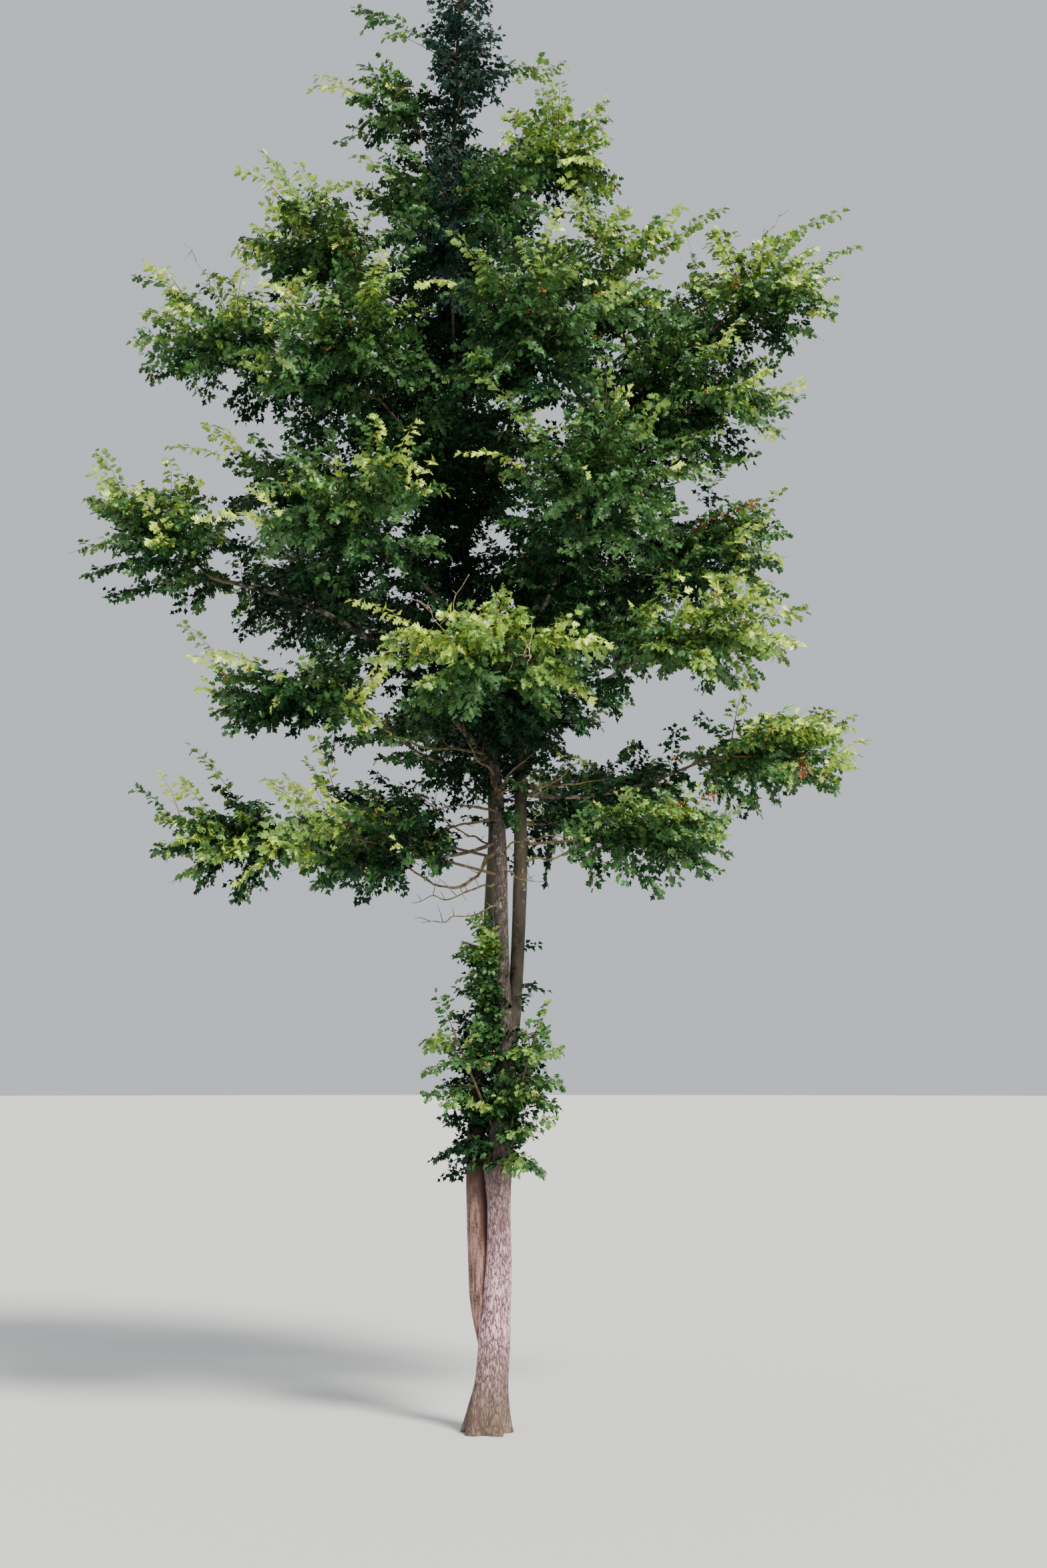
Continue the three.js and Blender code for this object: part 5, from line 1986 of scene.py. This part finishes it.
for name, share, radius, *points in DEAD_TWIGS:
    dead_rows.append(([place_on(stems[name], share), *points], radius))
print(len(bare_rows), "bare branches and", len(dead_rows), "dead twigs")

# %% Crooked branches
JOG_EVERY = 45
JOG = 0.16
FEWEST_JOGS = 3
BARE_RINGS = 26
BARE_SIDES = 6
BARE_TIP = 1.6
BARE_TAPER = 0.8
KNOBBLINESS = 0.14
SPUR_EVERY = 62
SPUR_LENGTH = (18, 90)
SPUR_AHEAD = 0.5
SPUR_LIFT = 0.3
SPUR_BEND = 0.12
SPUR_RINGS = 5
SPUR_SIDES = 4
SPUR_RADII = (2.4, 0.9)


def crooked(points, chance):
    """A route through points that jogs to one side and the other on its way."""
    smooth = Route(points)
    count = max(FEWEST_JOGS, int(smooth.length / JOG_EVERY))
    line = smooth.at(np.arange(count + 1) / count)
    line[1:] += JOG * JOG_EVERY * chance.normal(size=(count, 3))
    return Route(line)


def bare_branch(points, radius, chance):
    """Line and radii of a bare branch, and the routes of its spurs."""
    route = crooked(points, chance)
    shares = np.linspace(0, 1, BARE_RINGS)
    radii = radius + (BARE_TIP - radius) * shares ** BARE_TAPER
    radii *= 1 + KNOBBLINESS * chance.normal(size=BARE_RINGS)
    spurs = []
    for run in np.arange(SPUR_EVERY, route.length, SPUR_EVERY):
        share = run / route.length
        ahead = route.heading(share)
        way = unit(SPUR_AHEAD * ahead + chance.normal(size=3) + SPUR_LIFT * UP)
        length = chance.uniform(*SPUR_LENGTH)
        start = route.at(share)
        middle = start + 0.5 * length * way + SPUR_BEND * length * chance.normal(size=3)
        spurs.append(Route([start, middle, start + length * way]))
    return route.at(shares), np.maximum(radii, 0.5 * BARE_TIP), spurs


def bare_mesh(name, rows, seed):
    """One mesh of all bare branches of a kind, with their spurs."""
    chance = np.random.default_rng(seed)
    branches = [bare_branch(points, radius, chance) for points, radius in rows]
    lines = np.array([line for line, _, _ in branches])
    radii = np.array([its_radii for _, its_radii, _ in branches])
    spurs = [spur for _, _, its_spurs in branches for spur in its_spurs]
    spur_lines = np.array([spur.at(np.linspace(0, 1, SPUR_RINGS)) for spur in spurs])
    spur_radii = np.tile(np.linspace(*SPUR_RADII, SPUR_RINGS), (len(spurs), 1))
    parts = [tubes(lines, radii, BARE_SIDES), tubes(spur_lines, spur_radii, SPUR_SIDES)]
    return mesh_from(name, *joined(parts))


print("a branch jogs every", JOG_EVERY, "mm and has a spur every", SPUR_EVERY, "mm")

# %% Bare branches
BARE_SEED = 21
BARE_BARK = (colour(66, 54, 42), colour(112, 98, 74))
YELLOW_LICHEN = colour(140, 130, 78)

bare_finish = Finish("lichened_bark", 0.92)
bare_grain = bare_finish.grain(bare_finish.place(), scale=55, detail=4)
bare_tone = bare_finish.mix(bare_grain.ramp(0.35, 0.65), *BARE_BARK)
yellow = lichen(bare_finish, 42, 0.46, 0.60)
bare_finish.feed("Base Color", bare_finish.mix(yellow * 0.8, bare_tone, YELLOW_LICHEN))
bare_finish.bump(bare_grain + yellow, 0.6, 0.003)
bare_branches = bare_mesh("bare_branches", bare_rows, BARE_SEED)
finish_piece(bare_branches, "bare_branches", bare_finish, mass_nodes)

# %% Dead twigs
DEAD_SEED = 22
DEAD_WOOD = (colour(112, 88, 64), colour(186, 168, 138))

dead_finish = Finish("dead_wood", 0.85)
dead_grain = dead_finish.grain(dead_finish.stretched((60, 60, 20)), detail=3)
dead_finish.feed("Base Color", dead_finish.mix(dead_grain.ramp(0.3, 0.7), *DEAD_WOOD))
dead_finish.bump(dead_grain, 0.4, 0.002)
dead_twigs = bare_mesh("dead_twigs", dead_rows, DEAD_SEED)
finish_piece(dead_twigs, "dead_twigs", dead_finish, mass_nodes)

# %% [markdown]
# ## Haws
# The fruit hangs in small clusters from the outer shoots and is still ochre and orange. One round
# berry of twenty faces is made by an operator and repeated on thin stalks. A fuller ball would
# show no more at this size, and there are well over a thousand of them.

# %% One haw
HAW_RADIUS = 5.6
HAW_STRETCH = 1.12

ball = bmesh.new()
bmesh.ops.create_icosphere(ball, subdivisions=1, radius=HAW_RADIUS)
bmesh.ops.scale(ball, vec=(1, 1, HAW_STRETCH), verts=ball.verts)
ball_points = np.array([vertex.co for vertex in ball.verts])
ball_faces = np.array([[vertex.index for vertex in face.verts] for face in ball.faces])
ball.free()
print("a haw has", len(ball_faces), "triangles")

# %% Places of the haws
HAW_SEED = 31
HAW_CLUSTERS = 330
HAWS_IN_CLUSTER = (3, 7)
HAW_PLACE = (0.3, 0.9)
HAW_STALK = 17
HAW_STALK_VARIES = (0.7, 1.3)
HAW_DROOP = 0.9
HAW_TINTS = {
    "ochre": colour(178, 140, 66), "orange": colour(176, 98, 44), "yellow_green": colour(158, 158, 84),
}
HAW_TINT_SHARES = (0.5, 0.3, 0.2)
FRUITING_TINTS = (SUNLIT, LIGHT, GREEN)


def bears_fruit(shoot, tint):
    return shoot.leafy and tint in FRUITING_TINTS and shoot.shade != ALWAYS_SUNLIT


haw_chance = np.random.default_rng(HAW_SEED)
fruiting = [shoot for shoot, tint in zip(shoots, tint_of_shoot) if bears_fruit(shoot, tint)]
haws = {name: ([], []) for name in HAW_TINTS}
for number in haw_chance.choice(len(fruiting), HAW_CLUSTERS, replace=False):
    root = fruiting[number].at(haw_chance.uniform(*HAW_PLACE))[0]
    roots, centres = haws[haw_chance.choice(list(HAW_TINTS), p=HAW_TINT_SHARES)]
    for _ in range(haw_chance.integers(*HAWS_IN_CLUSTER)):
        way = unit(haw_chance.normal(size=3) - HAW_DROOP * UP)
        roots.append(root)
        centres.append(root + way * HAW_STALK * haw_chance.uniform(*HAW_STALK_VARIES))
print({name: len(centres) for name, (_, centres) in haws.items()}, "haws")

# %% Haw pieces
HAW_STALK_RADIUS = 0.7
HAW_BLUSH = 1.35

for name, (roots, centres) in haws.items():
    roots, centres = np.array(roots), np.array(centres)
    balls = (centres[:, None] + ball_points).reshape(-1, 3) * MM
    faces = copied(ball_faces, len(centres), len(ball_points))
    stalks = spikes(roots, centres, np.full(len(roots), HAW_STALK_RADIUS))
    haw_finish = Finish("haw_" + name, 0.35)
    blush = haw_finish.grain(haw_finish.place(), scale=90, detail=2).ramp(0.4, 0.6)
    tint = HAW_TINTS[name]
    haw_finish.feed("Base Color", haw_finish.mix(blush, tint, toned(tint, HAW_BLUSH)))
    mesh = mesh_from("haws_" + name, *joined([(balls, faces), stalks]))
    finish_piece(mesh, "haws_" + name, haw_finish, mass_nodes)

# %% [markdown]
# ## Sizes
# The leaves may stand out of the solids only a little. That could be judged by eye, but two boxes
# of numbers say it better, so the box of the solids is printed after loading and the box of the
# finished tree at the end.

# %% Print the box of the finished tree
visual_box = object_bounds()
lowest, highest = ([round(value, 3) for value in corner] for corner in visual_box)
print("visual model reaches from", lowest, "to", highest)
